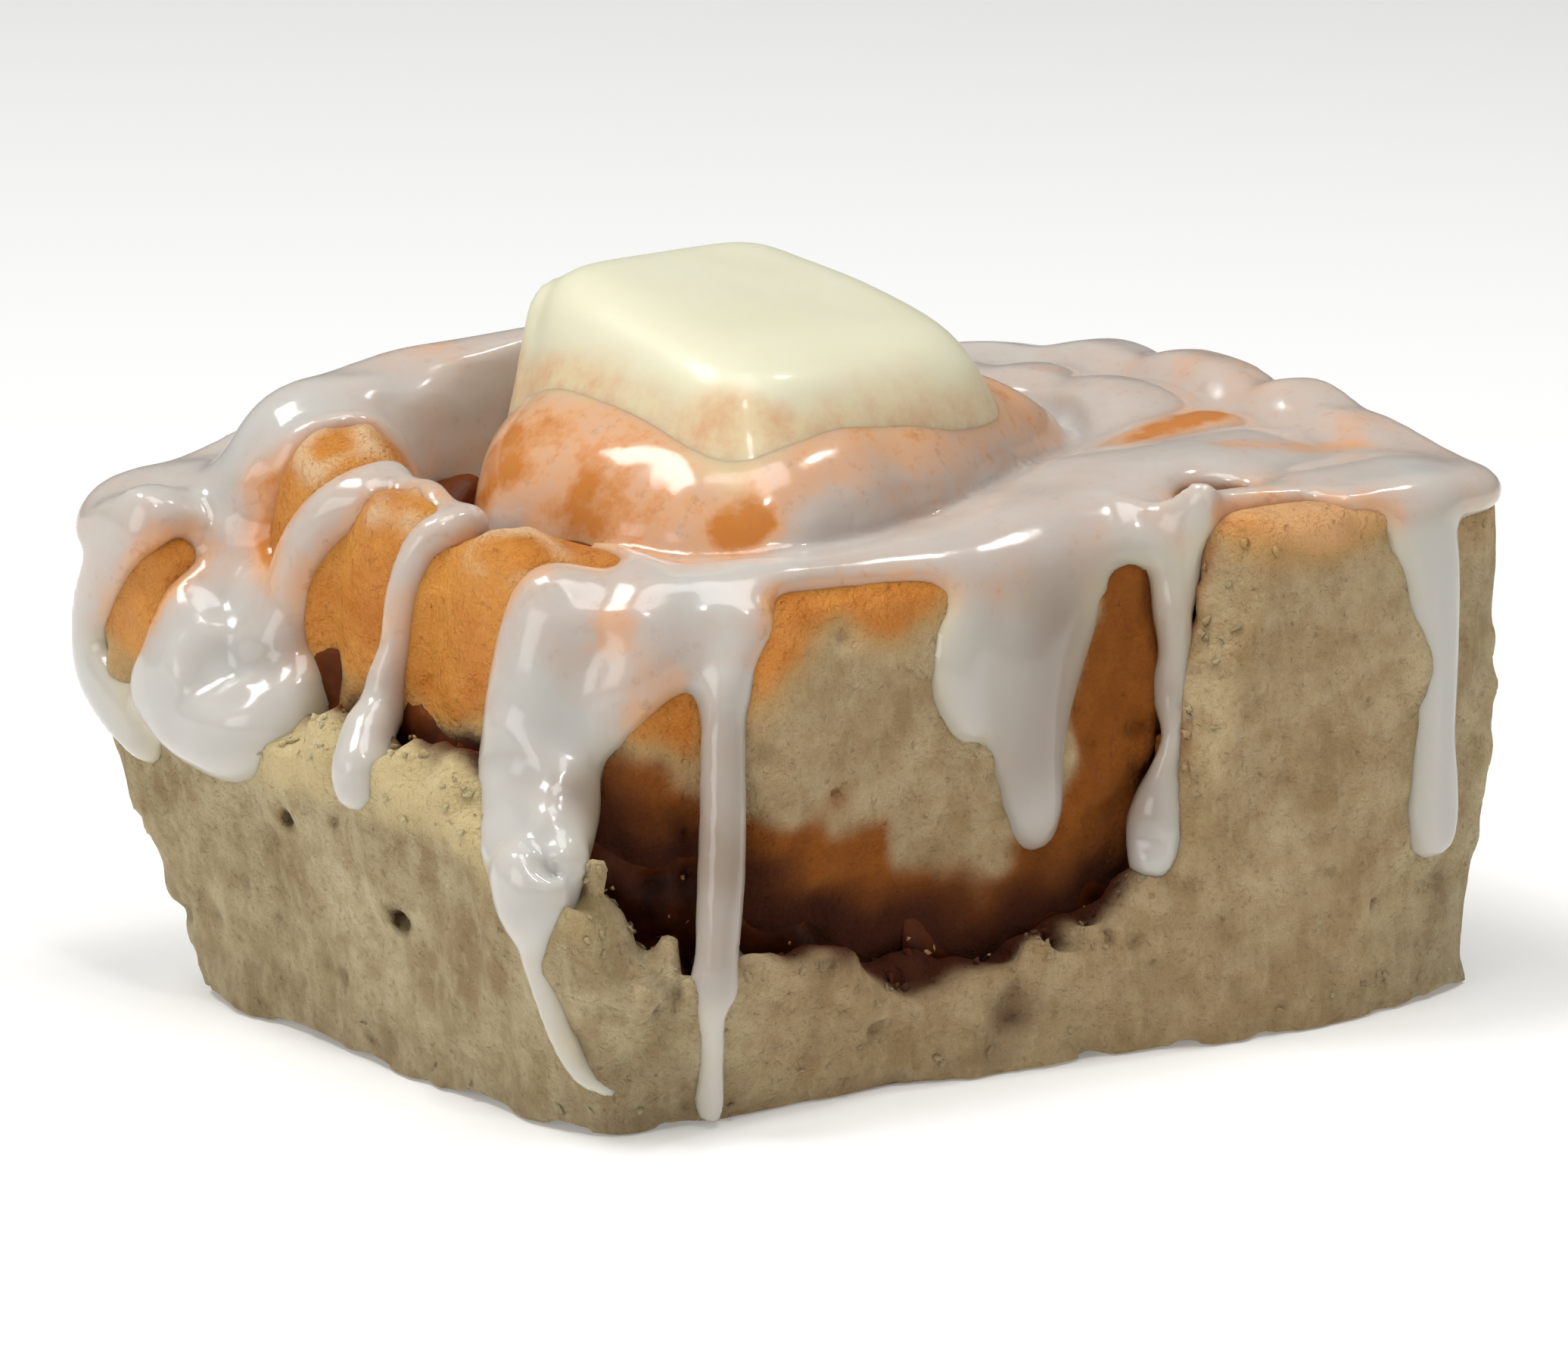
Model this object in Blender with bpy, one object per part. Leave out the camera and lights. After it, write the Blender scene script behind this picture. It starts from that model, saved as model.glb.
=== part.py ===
"""Iced cinnamon roll with a pat of melting butter, pulled from a tray of rolls.

A strip of yeast dough is rolled up round a domed core, with a sheet of cinnamon filling between
its turns. The outermost turn is torn: it is a low skirt on the front and left, where the filling
and the next turn show above it, and it keeps its full height on the right and at the back. Icing
lies over the top and hangs down the sides in drips, and the butter lies on the dome.

Sizes are in millimetres. A place on the roll is given by its turn, its depth and its height: turn
counts counterclockwise from the strip's outer end at the front left corner, and depth is measured
inwards from the widest outline of the dough.
"""

from math import cos, hypot, pi, radians, sin

import bmesh
import bpy
from mathutils import Matrix, Vector, noise


# The roll's outline and heights
HALF_LENGTH = 41.0
HALF_WIDTH = 28.6
SEAM_ANGLE = radians(-141.5)
CORE_DEPTH = 14.0
CORE_SHIFT = Vector((-1.0, 5.0, 0.0))
BACK_STRETCH = 1.06
BACK_SKEW = 0.0046
CENTRING = Vector((1.45, -3.25, 0.0))
LEFT_FLARE = 0.0022
LEFT_FLARE_START = -10.0
LEAN_HEIGHT = 24.0
GROOVE_HEIGHT = 37.6
DOME_HALF_LENGTH = 26.5
DOME_HALF_WIDTH = 15.0
DOME_HEIGHT = 49.6
DOME_TILT = 0.14
DOME_FULLNESS = (2.2, 4.0)
DOME_SOFTNESS = (0.85, 0.62)
DOME_TURNS_FULL = (6.0, -14.0)
GROOVE_RISE = 2.4
GROOVE_REACH = 0.25
CORE_SHARPNESS = 2.3

# The layers
FILLING_THICKNESS = 0.9
GAP = 0.4
ICING_CLEARANCE = 0.6
ICING_THICKNESS = 1.1
DRIP_THICKNESS = 2.4

# The torn faces
TORN_DEPTH = 0.5
LUMPS_PER_MM = 0.11
LUMP_DEPTH = 0.8
CRAGS_PER_MM = 0.31
CRAG_DEPTH = 0.4
CRAG_PLACE = Vector((7.0, 3.0, 1.0))
TEAR_ENDS = (0.95, 0.98)
WHOLE_SHARES = (0.225, 0.84)

# The strip's two ends: the outer one lies over the inner turn, and the inner one thins out and dips
OUTER_END_TUCK = (0.975, 1.0)
INNER_END_THINS = (1.94, 1.99)
INNER_END_THINNING = 1.2
INNER_END_DIPS = (1.95, 2.0)
INNER_END_DIP = 3.8
INNER_END_LIFTS = (1.97, 2.0)
INNER_END_LIFT = 0.8

# The butter
BUTTER_MIDDLE = Vector((-4.3, 4.8, 54.0))
BUTTER_HALF_SIDE = 12.9
BUTTER_SQUARENESS = 0.32
BUTTER_TURN = Matrix.Rotation(radians(5.8), 4, "Z")
BUTTER_SLOPE = Vector((-0.02, 0.237, 0.0))
BUTTER_THICKNESS = 4.8
BUTTER_LEAST = 2.0
BUTTER_FOOT = 1.2
BUTTER_COLUMNS = 28
BUTTER_PROFILE = [
    (0.15, 0.0), (0.5, 0.0), (0.8, 0.0), (0.97, 0.0), (1.0, 0.25), (0.98, 0.6), (0.92, 0.86), (0.8, 0.97),
    (0.4, 1.0), (0.1, 1.0),
]

# How finely each body is divided: shares of one turn, closer together at the four corners
SHARES = [
    0.0, 0.014, 0.035, 0.06, 0.085, 0.11, 0.14, 0.17, 0.196, 0.212, 0.221, 0.23, 0.25, 0.265, 0.278, 0.29,
    0.303, 0.32, 0.35, 0.386, 0.422, 0.45, 0.468, 0.48, 0.492, 0.505, 0.53, 0.565, 0.6, 0.64, 0.68, 0.715,
    0.742, 0.762, 0.776, 0.786, 0.795, 0.804, 0.814, 0.826, 0.838, 0.85, 0.87, 0.9, 0.928, 0.95, 0.968,
    0.982, 0.992,
]
STRIP_TURNS = SHARES + [1.0 + share for share in SHARES] + [2.0, 2.014]
FILLING_TURNS = SHARES + [1.0 + share for share in SHARES[:-1]]
TORN_RISES = [0.0, 0.28, 0.56, 0.82]
TOP_ACROSS = [0.0, 0.12, 0.4, 0.75, 1.0]
TOP_LIFT = [0.4, 0.75, 0.7, 0.8, 1.5]
TOP_OUT = [1.5, 0.8, 0.0, 0.0, 0.0]
DOME_REACHES = [0.98, 0.9, 0.76, 0.52, 0.2]
DOME_LIFT = [1.6, 1.6, 1.2, 0.9, 0.8, 0.8]
TOP_ROWS = len(DOME_LIFT) + 2 * len(TOP_ACROSS)
HANG_SHARES = [0.75, 0.95, 1.0]
WHOLE_WALL_SHARES = [0.1, 0.2, 0.6, 0.9]
DRIP_COLUMNS = [-1.06, -0.84, -0.38, 0.38, 0.84, 1.06]
LEAST_ROW_STEP = 0.06
LEAST_COLUMN_STEP = 0.0025

# Each list of knots gives a value against the turn, and is joined by smooth steps.
CORNER_SHARPNESS = [
    (0.0, 9.0), (0.2, 9.0), (0.293, 15.0), (0.493, 6.0), (0.72, 10.0), (0.793, 14.0), (0.86, 10.0),
    (1.0, 9.0),
]
BASE_INSET = [
    (0.0, 4.8), (0.03, 5.4), (0.07, 4.8), (0.12, 3.0), (0.16, 2.2), (0.24, 0.8), (0.386, 0.6), (0.55, 3.4),
    (0.793, 4.4), (0.893, 3.6), (0.95, 4.2), (1.0, 4.8),
]
FILLING_DEPTH = [
    (0.0, 3.2), (0.136, 3.4), (0.2, 3.8), (0.286, 4.6), (0.386, 5.2), (0.486, 5.6), (0.786, 4.4), (0.9, 4.6),
    (1.0, 5.8), (1.06, 9.6), (1.136, 13.2), (1.286, 15.6), (1.486, 15.0), (1.636, 13.4), (1.886, 12.6),
    (2.0, 13.4),
]
SKIRT_HEIGHT = [
    (0.0, 15.5), (0.035, 14.0), (0.085, 8.4), (0.12, 9.5), (0.18, 11.2), (0.196, 12.5), (0.212, 23.0),
    (0.221, 28.0), (0.23, 38.6), (0.3, 39.8), (0.36, 42.4), (0.42, 42.8), (0.5, 41.2), (0.6, 43.5),
    (0.7, 45.0), (0.75, 42.0), (0.786, 38.0), (0.814, 36.0), (0.838, 32.0), (0.85, 22.5), (0.87, 23.3),
    (0.924, 23.3), (0.957, 20.0), (0.98, 16.6), (0.992, 16.0), (1.0, 16.0),
]
SKIRT_RISE = [(0.0, 0.0), (0.2, 0.0), (0.24, 0.5), (0.838, 0.5), (0.86, 4.0), (0.93, 4.0), (1.0, 1.0)]
SKIRT_ROUNDING = [
    (0.0, 0.8), (0.225, 0.8), (0.226, 3.0), (0.74, 3.0), (0.79, 4.6), (0.839, 4.6), (0.84, 0.8), (1.0, 0.8),
]
CREST_HEIGHT = [
    (0.0, 40.5), (0.136, 39.8), (0.286, 41.0), (0.386, 43.0), (0.486, 42.0), (0.6, 45.0), (0.7, 47.6),
    (0.762, 47.0), (0.804, 45.2), (0.886, 44.0), (1.0, 40.5),
]
OUTER_SHOULDER = [(0.0, 4.0), (0.19, 3.6), (0.23, 1.2), (0.7, 1.2), (0.776, 5.0), (0.92, 6.0), (1.0, 4.0)]
FILLING_TOP = [
    (0.0, 25.0), (0.037, 23.5), (0.067, 22.2), (0.077, 18.0), (0.107, 17.4), (0.125, 22.0), (0.157, 30.0),
    (0.172, 30.0), (0.212, 30.0), (0.24, 37.0), (0.7, 37.5), (0.762, 35.0), (0.826, 31.0), (0.85, 27.6),
    (0.87, 28.8), (0.924, 28.6), (0.967, 27.0), (1.0, 27.0), (1.057, 35.0), (2.0, 35.5),
]

# How the icing steps out over the filling's edge and the torn skirt, as heights above each
FILLING_LEDGE = (3.8, 2.0)
SKIRT_LEDGE = (2.8, 1.3)
SKIRT_CLEARANCE = 0.9
OUTER_END_DEPTH = 4.6
OUTER_END_EASING = 60.0
OUTER_END_STEP = 0.6

# How far the icing hangs below the shoulder between drips, and each drip's turn, half width and tip height
ICING_HANG = 1.3
DRIPS = [
    (0.0125, 2.4, 3.6), (0.115, 4.2, 18.5), (0.18, 2.5, 14.0), (0.274, 3.4, 11.5), (0.35, 2.8, 22.0),
    (0.42, 3.4, 15.5), (0.535, 3.0, 19.5), (0.605, 3.6, 25.0), (0.68, 2.6, 12.5), (0.806, 6.4, 19.5),
    (0.893, 2.6, 21.5), (0.964, 4.2, 13.5),
]


def smooth_step(share):
    """Eases a share from 0 to 1 with no corner at either end."""
    share = min(1.0, max(0.0, share))
    return share * share * (3.0 - 2.0 * share)


def eased(value, limits):
    """Rises from 0 to 1 as the value passes from one limit to the other."""
    return smooth_step((value - limits[0]) / (limits[1] - limits[0]))


def read_knots(knots, position):
    """The value at a position between knots of rising position."""
    if position <= knots[0][0]:
        return knots[0][1]
    for (start, low), (end, high) in zip(knots, knots[1:]):
        if position <= end:
            return low + (high - low) * eased(position, (start, end))
    return knots[-1][1]


def outline_radius(angle, depth, sharpness):
    """Distance from the middle to a rounded rectangle that is this much smaller than the outline."""
    along = abs(cos(angle)) / (HALF_LENGTH - depth)
    across = abs(sin(angle)) / (HALF_WIDTH - depth)
    return (along**sharpness + across**sharpness) ** (-1.0 / sharpness)


def place(turn, depth, height):
    """The point at this turn, depth and height. The outer turns lean inwards at the base."""
    share = turn % 1.0
    inwards = min(1.0, max(0.0, depth / CORE_DEPTH))
    lean = read_knots(BASE_INSET, share) * max(0.0, 1.0 - height / LEAN_HEIGHT)
    depth = depth + lean * (1.0 - inwards)
    sharpness = read_knots(CORNER_SHARPNESS, share) * (1.0 - inwards) + CORE_SHARPNESS * inwards
    angle = SEAM_ANGLE + 2.0 * pi * turn
    radius = outline_radius(angle, depth, sharpness)
    x = radius * cos(angle) + CORE_SHIFT.x * inwards
    y = radius * sin(angle) + CORE_SHIFT.y * inwards
    if x < 0.0 and y > LEFT_FLARE_START:
        x *= 1.0 + LEFT_FLARE * (y - LEFT_FLARE_START)
    if y > 0.0:
        y *= BACK_STRETCH - BACK_SKEW * x * (1.0 - inwards)
    return Vector((x, y, height))


def torn_relief(point):
    """Depth of the crags on a torn face, made of low lumps and finer ones."""
    lumps = noise.noise(point * LUMPS_PER_MM) * LUMP_DEPTH
    crags = noise.noise(point * CRAGS_PER_MM + CRAG_PLACE) * CRAG_DEPTH
    return TORN_DEPTH + lumps + crags


def length_per_turn(share):
    """How far the outline runs here for a whole turn's worth of share."""
    step = 0.001
    return (place(share + step, 0.0, 30.0) - place(share - step, 0.0, 30.0)).length / (2.0 * step)


def strip_walls(turn):
    """Depths of the strip's outer and inner wall. Its outer wall tucks in behind its own outer end."""
    beside_filling = FILLING_THICKNESS / 2.0 + GAP
    inner = read_knots(FILLING_DEPTH, turn) - beside_filling
    if turn >= 1.0:
        narrowing = INNER_END_THINNING * eased(turn, INNER_END_THINS)
        return read_knots(FILLING_DEPTH, turn - 1.0) + beside_filling + narrowing, inner - 0.5 * narrowing
    tuck = eased(turn, OUTER_END_TUCK)
    return tuck * (FILLING_DEPTH[0][1] + beside_filling), inner


def is_whole(share):
    """Whether the outermost turn keeps its full height here."""
    return WHOLE_SHARES[0] < share < WHOLE_SHARES[1]


def strip_top(turn, across):
    """Height of the strip's top, across running from 0 at its outer wall to 1 at its inner wall."""
    share = turn % 1.0
    edge = abs(2.0 * across - 1.0)
    if turn < 1.0:
        rim = read_knots(SKIRT_HEIGHT, share) + read_knots(SKIRT_RISE, share) * across
        rounding = read_knots(SKIRT_ROUNDING, share) if across < 0.5 else SKIRT_ROUNDING[0][1]
        return rim - rounding * edge**3
    crest = read_knots(CREST_HEIGHT, share) - INNER_END_DIP * eased(turn, INNER_END_DIPS)
    shoulder = read_knots(OUTER_SHOULDER, share) if across < 0.5 else crest - GROOVE_HEIGHT
    return crest - shoulder * edge**2.6


def strip_wall_point(turn, outer, height):
    """A point on the strip's outer wall, which is torn on the outermost turn."""
    if turn < 1.0:
        outer += torn_relief(place(turn, outer, height)) * (1.0 - eased(turn, TEAR_ENDS))
    return place(turn, outer, height)


def strip_section(turn):
    """The strip's cross-section: up the outer wall, over the top and down the inner wall."""
    outer, inner = strip_walls(turn)
    base = INNER_END_LIFT * eased(turn, INNER_END_LIFTS)
    rows = [strip_top(turn, 0.0) * rise for rise in TORN_RISES] if turn < 1.0 else wall_rows(GROOVE_HEIGHT)
    points = [strip_wall_point(turn, outer, max(base, height)) for height in rows]
    for across in TOP_ACROSS:
        points.append(place(turn, outer + (inner - outer) * across, strip_top(turn, across)))
    for height in reversed(wall_rows(strip_top(turn, 1.0))):
        points.append(place(turn, inner, max(base, height)))
    return points


def wall_rows(top):
    """Heights of a wall's rows below its top, so that walls which face each other have the same facets."""
    return [rise * min(top, LEAN_HEIGHT / TORN_RISES[-1]) for rise in TORN_RISES]


def core_edge(share):
    """Depth of the core's wall, just inside the filling's second turn."""
    return read_knots(FILLING_DEPTH, 1.0 + share) + FILLING_THICKNESS / 2.0 + GAP


def dome_height(x, y):
    """Height of the core's top at a place seen from above."""
    reach = hypot((x - CORE_SHIFT.x) / DOME_HALF_LENGTH, (y - CORE_SHIFT.y) / DOME_HALF_WIDTH)
    if reach < 1.0:
        full = eased(x, DOME_TURNS_FULL)
        fullness = DOME_FULLNESS[0] + (DOME_FULLNESS[1] - DOME_FULLNESS[0]) * full
        softness = DOME_SOFTNESS[0] + (DOME_SOFTNESS[1] - DOME_SOFTNESS[0]) * full
        rise = DOME_HEIGHT + DOME_TILT * (y - CORE_SHIFT.y) - GROOVE_HEIGHT
        return GROOVE_HEIGHT + rise * (1.0 - reach**fullness) ** softness
    return GROOVE_HEIGHT + GROOVE_RISE * smooth_step((reach - 1.0) / GROOVE_REACH)


def core_top(share):
    """Points on the core's top, from its edge in to the middle of the dome."""
    edge = place(share, core_edge(share), GROOVE_HEIGHT)
    edge.z = dome_height(edge.x, edge.y)
    reach = hypot((edge.x - CORE_SHIFT.x) / DOME_HALF_LENGTH, (edge.y - CORE_SHIFT.y) / DOME_HALF_WIDTH)
    points = [edge]
    for inner_reach in DOME_REACHES:
        point = CORE_SHIFT.lerp(edge, min(1.0, 1.0 / reach) * inner_reach)
        point.z = dome_height(point.x, point.y)
        points.append(point)
    return points


def core_rings():
    """The middle of the roll, from its base up over the dome."""
    rings = [[place(share, core_edge(share), height) for share in SHARES] for height in (0.0, LEAN_HEIGHT)]
    tops = [core_top(share) for share in SHARES]
    return rings + [[top[row] for top in tops] for row in range(len(DOME_LIFT))]


def filling_section(turn):
    """The filling's cross-section: up its outer face and down its inner face."""
    depth = read_knots(FILLING_DEPTH, turn)
    top = read_knots(FILLING_TOP, turn)
    half = FILLING_THICKNESS / 2.0
    heights = wall_rows(top) + [top]
    outer = [place(turn, depth - half, height) for height in heights]
    inner = [place(turn, depth + half, height) for height in reversed(heights)]
    return outer + inner


def skin_outer_limit(turn):
    """The greatest depth of the icing's underside, which eases out to the strip's own outer end."""
    return OUTER_END_DEPTH + OUTER_END_EASING * (2.0 - turn)


def skin_top_path(share):
    """The path of the icing's underside from the middle of the dome to the outermost shoulder."""
    path = [point + Vector((0.0, 0.0, lift)) for point, lift in zip(core_top(share), DOME_LIFT)]
    path.reverse()
    turns = [1.0 + share, share] if is_whole(share) else [1.0 + share]
    for turn in turns:
        outer, inner = strip_walls(turn)
        limits = [skin_outer_limit(turn), skin_outer_limit(turn) + OUTER_END_STEP, inner, inner, inner]
        for across, lift, out, limit in reversed(list(zip(TOP_ACROSS, TOP_LIFT, TOP_OUT, limits))):
            depth = min(outer + (inner - outer) * across, limit) - out
            path.append(place(turn, depth, strip_top(turn, across) + lift))
    if not is_whole(share):
        path += [path[-1].copy() for _ in TOP_ACROSS]
    return path


def skin_wall_depth(share, height):
    """Depth of the icing's underside on the wall: it steps out over the filling and the torn skirt."""
    over_skirt = -SKIRT_CLEARANCE
    if is_whole(share):
        return over_skirt
    above_filling, at_filling, above_skirt, at_skirt = ledge_heights(share)
    over_wall = min(strip_walls(1.0 + share)[0], skin_outer_limit(1.0 + share)) - TOP_OUT[0]
    over_filling = read_knots(FILLING_DEPTH, share) - FILLING_THICKNESS / 2.0 - ICING_CLEARANCE
    filling_share = (above_filling - height) / (above_filling - at_filling)
    skirt_share = (above_skirt - height) / (above_skirt - at_skirt)
    depth = over_wall + (over_filling - over_wall) * min(1.0, max(0.0, filling_share))
    return depth + (over_skirt - depth) * min(1.0, max(0.0, skirt_share))


def wall_point(share, height, outwards):
    """A point this far outwards from the icing's underside on the wall."""
    return place(share, skin_wall_depth(share, height) - outwards, height)


def ledge_heights(share):
    """Heights between which the icing steps out over the filling's edge, and then over the torn skirt."""
    filling = read_knots(FILLING_TOP, share)
    skirt = read_knots(SKIRT_HEIGHT, share)
    rise = read_knots(SKIRT_RISE, share)
    above_skirt = skirt + rise + SKIRT_LEDGE[0]
    return filling + FILLING_LEDGE[0], filling + FILLING_LEDGE[1], above_skirt, skirt + SKIRT_LEDGE[1]


def wall_heights(share, start, lowest):
    """Heights of the icing's rows on the wall, from the shoulder down to the tip."""
    heights = [start + (lowest - start) * down for down in HANG_SHARES]
    ledges = ledge_heights(share)
    if is_whole(share):
        ledges = [start + (lowest - start) * down for down in WHOLE_WALL_SHARES]
    heights += [min(start, max(lowest, ledge)) for ledge in ledges]
    heights.sort(reverse=True)
    rows = []
    above = start
    for height in heights:
        above = min(height, above - LEAST_ROW_STEP)
        rows.append(above)
    return rows


def mean_point(share, point_at):
    """A point between the two nearest of the dough's own columns, so that it follows the dough's facets."""
    columns = SHARES + [1.0]
    after = next(i for i, column in enumerate(columns) if column > share)
    low, high = columns[after - 1], columns[after]
    return point_at(low).lerp(point_at(high % 1.0), (share - low) / (high - low))


def hang_at(share):
    """How low the icing hangs here, as a height, and whether a drip is here from 0 to 1."""
    shoulder = mean_point(share, lambda column: skin_top_path(column)[-1]).z
    lowest = shoulder - ICING_HANG
    most = 0.0
    for centre, half_width, tip in DRIPS:
        away = abs((share - centre + 0.5) % 1.0 - 0.5)
        reach = away * length_per_turn(share) / half_width
        if reach < 1.0:
            drop = (1.0 - reach**4) ** 0.5
            lowest = min(lowest, shoulder - ICING_HANG - (shoulder - ICING_HANG - tip) * drop)
            most = max(most, 1.0 - reach)
    return lowest, most


def icing_columns():
    """The turns at which the icing has a column: six on each drip, and the dough's own between drips."""
    columns = []
    for centre, half_width, _ in DRIPS:
        width = half_width / length_per_turn(centre)
        columns += [(centre + width * at) % 1.0 for at in DRIP_COLUMNS]
    for share in SHARES:
        if min(abs((share - column + 0.5) % 1.0 - 0.5) for column in columns) > LEAST_COLUMN_STEP:
            columns.append(share)
    return sorted(columns)


def icing_rings():
    """The icing's rings, out over the top and down to its hem underneath, and back on top."""
    columns = icing_columns()
    under = []
    over = []
    for share in columns:
        top = []
        for row in range(TOP_ROWS):
            top.append(mean_point(share, lambda column, row=row: skin_top_path(column)[row]))
        lowest, drip = hang_at(share)
        start = top[-1].z
        walls = []
        faces = []
        for height in wall_heights(share, start, lowest):
            down = min(1.0, (start - height) / (start - lowest))
            thickness = ICING_THICKNESS + (DRIP_THICKNESS - ICING_THICKNESS) * drip * down
            thickness *= (1.0 - down**6) ** 0.5 * 0.8 + 0.2
            walls.append(mean_point(share, lambda column, h=height: wall_point(column, h, 0.0)))
            faces.append(mean_point(share, lambda column, h=height, t=thickness: wall_point(column, h, t)))
        under.append(top + walls)
        raised = [point + Vector((0.0, 0.0, ICING_THICKNESS)) for point in top]
        middle = Vector((0.0, 0.0, start))
        outwards = (top[-1] - middle).normalized()
        raised[-1] = top[-1] + outwards * ICING_THICKNESS + Vector((0.0, 0.0, 0.5 * ICING_THICKNESS))
        over.append([raised[0], raised[1]] + raised[3:] + faces[1:])
    rings = [[path[row] for path in under] for row in range(len(under[0]))]
    rings += [[path[row] for path in over] for row in range(len(over[0]) - 1, -1, -1)]
    return rings


def butter_rings():
    """The melting pat: its top is flat and slopes to the front, and it has sunk onto the iced dome."""
    under = DOME_LIFT[-2] + ICING_THICKNESS + GAP
    rings = []
    for scale, rise in BUTTER_PROFILE:
        ring = []
        for column in range(BUTTER_COLUMNS):
            angle = 2.0 * pi * column / BUTTER_COLUMNS
            along = abs(cos(angle)) ** BUTTER_SQUARENESS * (1.0 if cos(angle) > 0.0 else -1.0)
            across = abs(sin(angle)) ** BUTTER_SQUARENESS * (1.0 if sin(angle) > 0.0 else -1.0)
            reach = BUTTER_TURN @ (Vector((along, across, 0.0)) * BUTTER_HALF_SIDE * scale)
            point = BUTTER_MIDDLE + reach
            top = BUTTER_MIDDLE.z + BUTTER_SLOPE.dot(reach)
            foot = dome_height(point.x, point.y) + under + BUTTER_FOOT * scale**2
            foot = max(foot, top - BUTTER_THICKNESS)
            top = max(top, foot + BUTTER_LEAST)
            point.z = foot + (top - foot) * rise
            ring.append(point)
        rings.append(ring)
    return rings


def loft(name, rings):
    """A closed body through rings of equally many points, with a flat cap at each end."""
    shape = bmesh.new()
    made = [[shape.verts.new(point) for point in ring] for ring in rings]
    count = len(rings[0])
    for low, high in zip(made, made[1:]):
        for i in range(count):
            j = (i + 1) % count
            shape.faces.new((low[i], low[j], high[j], high[i]))
    caps = [shape.faces.new(reversed(made[0])), shape.faces.new(made[-1])]
    bmesh.ops.triangulate(shape, faces=caps)
    bmesh.ops.recalc_face_normals(shape, faces=shape.faces)
    mesh = bpy.data.meshes.new(name)
    shape.to_mesh(mesh)
    shape.free()
    mesh.transform(Matrix.Scale(0.001, 4) @ Matrix.Translation(CENTRING))
    mesh.shade_smooth()
    mesh.set_sharp_from_angle(angle=radians(50))
    return bpy.data.objects.new(name, mesh)


def join(body, other):
    """Joins another solid to the body and removes it."""
    union = body.modifiers.new("join", "BOOLEAN")
    union.operation = "UNION"
    union.object = other
    bpy.context.view_layer.update()
    evaluated = body.evaluated_get(bpy.context.evaluated_depsgraph_get())
    joined = bpy.data.meshes.new_from_object(evaluated)
    body.modifiers.remove(union)
    body.data = joined
    bpy.data.objects.remove(other)


def give_material(body, name, colour, roughness, coat):
    """Gives the body a food material of one colour."""
    material = bpy.data.materials.new(name)
    material.use_nodes = True
    shader = material.node_tree.nodes["Principled BSDF"]
    shader.inputs["Base Color"].default_value = (*colour, 1.0)
    shader.inputs["Roughness"].default_value = roughness
    shader.inputs["Metallic"].default_value = 0.0
    shader.inputs["Coat Weight"].default_value = coat
    material.diffuse_color = (*colour, 1.0)
    body.data.materials.clear()
    body.data.materials.append(material)


for old in list(bpy.data.objects):
    bpy.data.objects.remove(old)
collection = bpy.data.collections.new("cinnamon_roll")
bpy.context.scene.collection.children.link(collection)

# The dough: the rolled strip, whose inner end is joined to the core
dough = loft("dough", [strip_section(turn) for turn in STRIP_TURNS])
core = loft("core", core_rings())
collection.objects.link(dough)
collection.objects.link(core)
join(dough, core)
give_material(dough, "baked dough", (0.62, 0.47, 0.27), 0.8, 0.0)

# The sheet of cinnamon filling between the turns
filling = loft("filling", [filling_section(turn) for turn in FILLING_TURNS])
collection.objects.link(filling)
give_material(filling, "cinnamon filling", (0.14, 0.04, 0.01), 0.35, 0.3)

# The icing over the top, with its drips
icing = loft("icing", icing_rings())
collection.objects.link(icing)
give_material(icing, "sugar icing", (0.66, 0.62, 0.57), 0.2, 0.3)

# The pat of butter
butter = loft("butter", butter_rings())
collection.objects.link(butter)
give_material(butter, "melting butter", (0.84, 0.8, 0.52), 0.3, 0.2)
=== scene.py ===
"""Dresses the iced cinnamon roll: torn crumb, golden crust, cinnamon filling, melting icing and butter.

Lengths are in millimetres until a mesh is made. The roll is laid out round its own middle, and each mesh
is moved by CENTRING, as in the part's source. Turns count counterclockwise from the strip's outer end at
the front left corner, and depth is measured inwards from the widest outline of the dough.
"""

from itertools import product
from math import cos, pi, radians, sin

import bpy
import numpy as np
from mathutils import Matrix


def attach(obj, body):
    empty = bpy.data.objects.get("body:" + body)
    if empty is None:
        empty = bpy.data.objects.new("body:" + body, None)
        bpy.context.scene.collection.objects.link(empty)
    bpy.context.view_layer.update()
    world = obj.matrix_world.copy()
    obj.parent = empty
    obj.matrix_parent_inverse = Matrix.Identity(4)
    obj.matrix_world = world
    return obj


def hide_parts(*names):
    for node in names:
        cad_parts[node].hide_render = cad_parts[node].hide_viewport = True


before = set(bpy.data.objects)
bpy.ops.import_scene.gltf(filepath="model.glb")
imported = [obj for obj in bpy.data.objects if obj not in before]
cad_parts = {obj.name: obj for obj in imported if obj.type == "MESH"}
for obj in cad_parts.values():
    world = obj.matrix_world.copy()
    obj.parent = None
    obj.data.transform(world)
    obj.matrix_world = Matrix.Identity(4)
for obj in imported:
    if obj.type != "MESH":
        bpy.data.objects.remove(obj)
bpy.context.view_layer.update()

import openvdb
from mathutils import Vector


# The inner turns and the domed core
# Yeast dough, rolled up with its filling and baked in a tray among others. Its top is browned and
# smooth, its sides are the soft crumb that shows where the next roll was pulled away.

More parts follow.
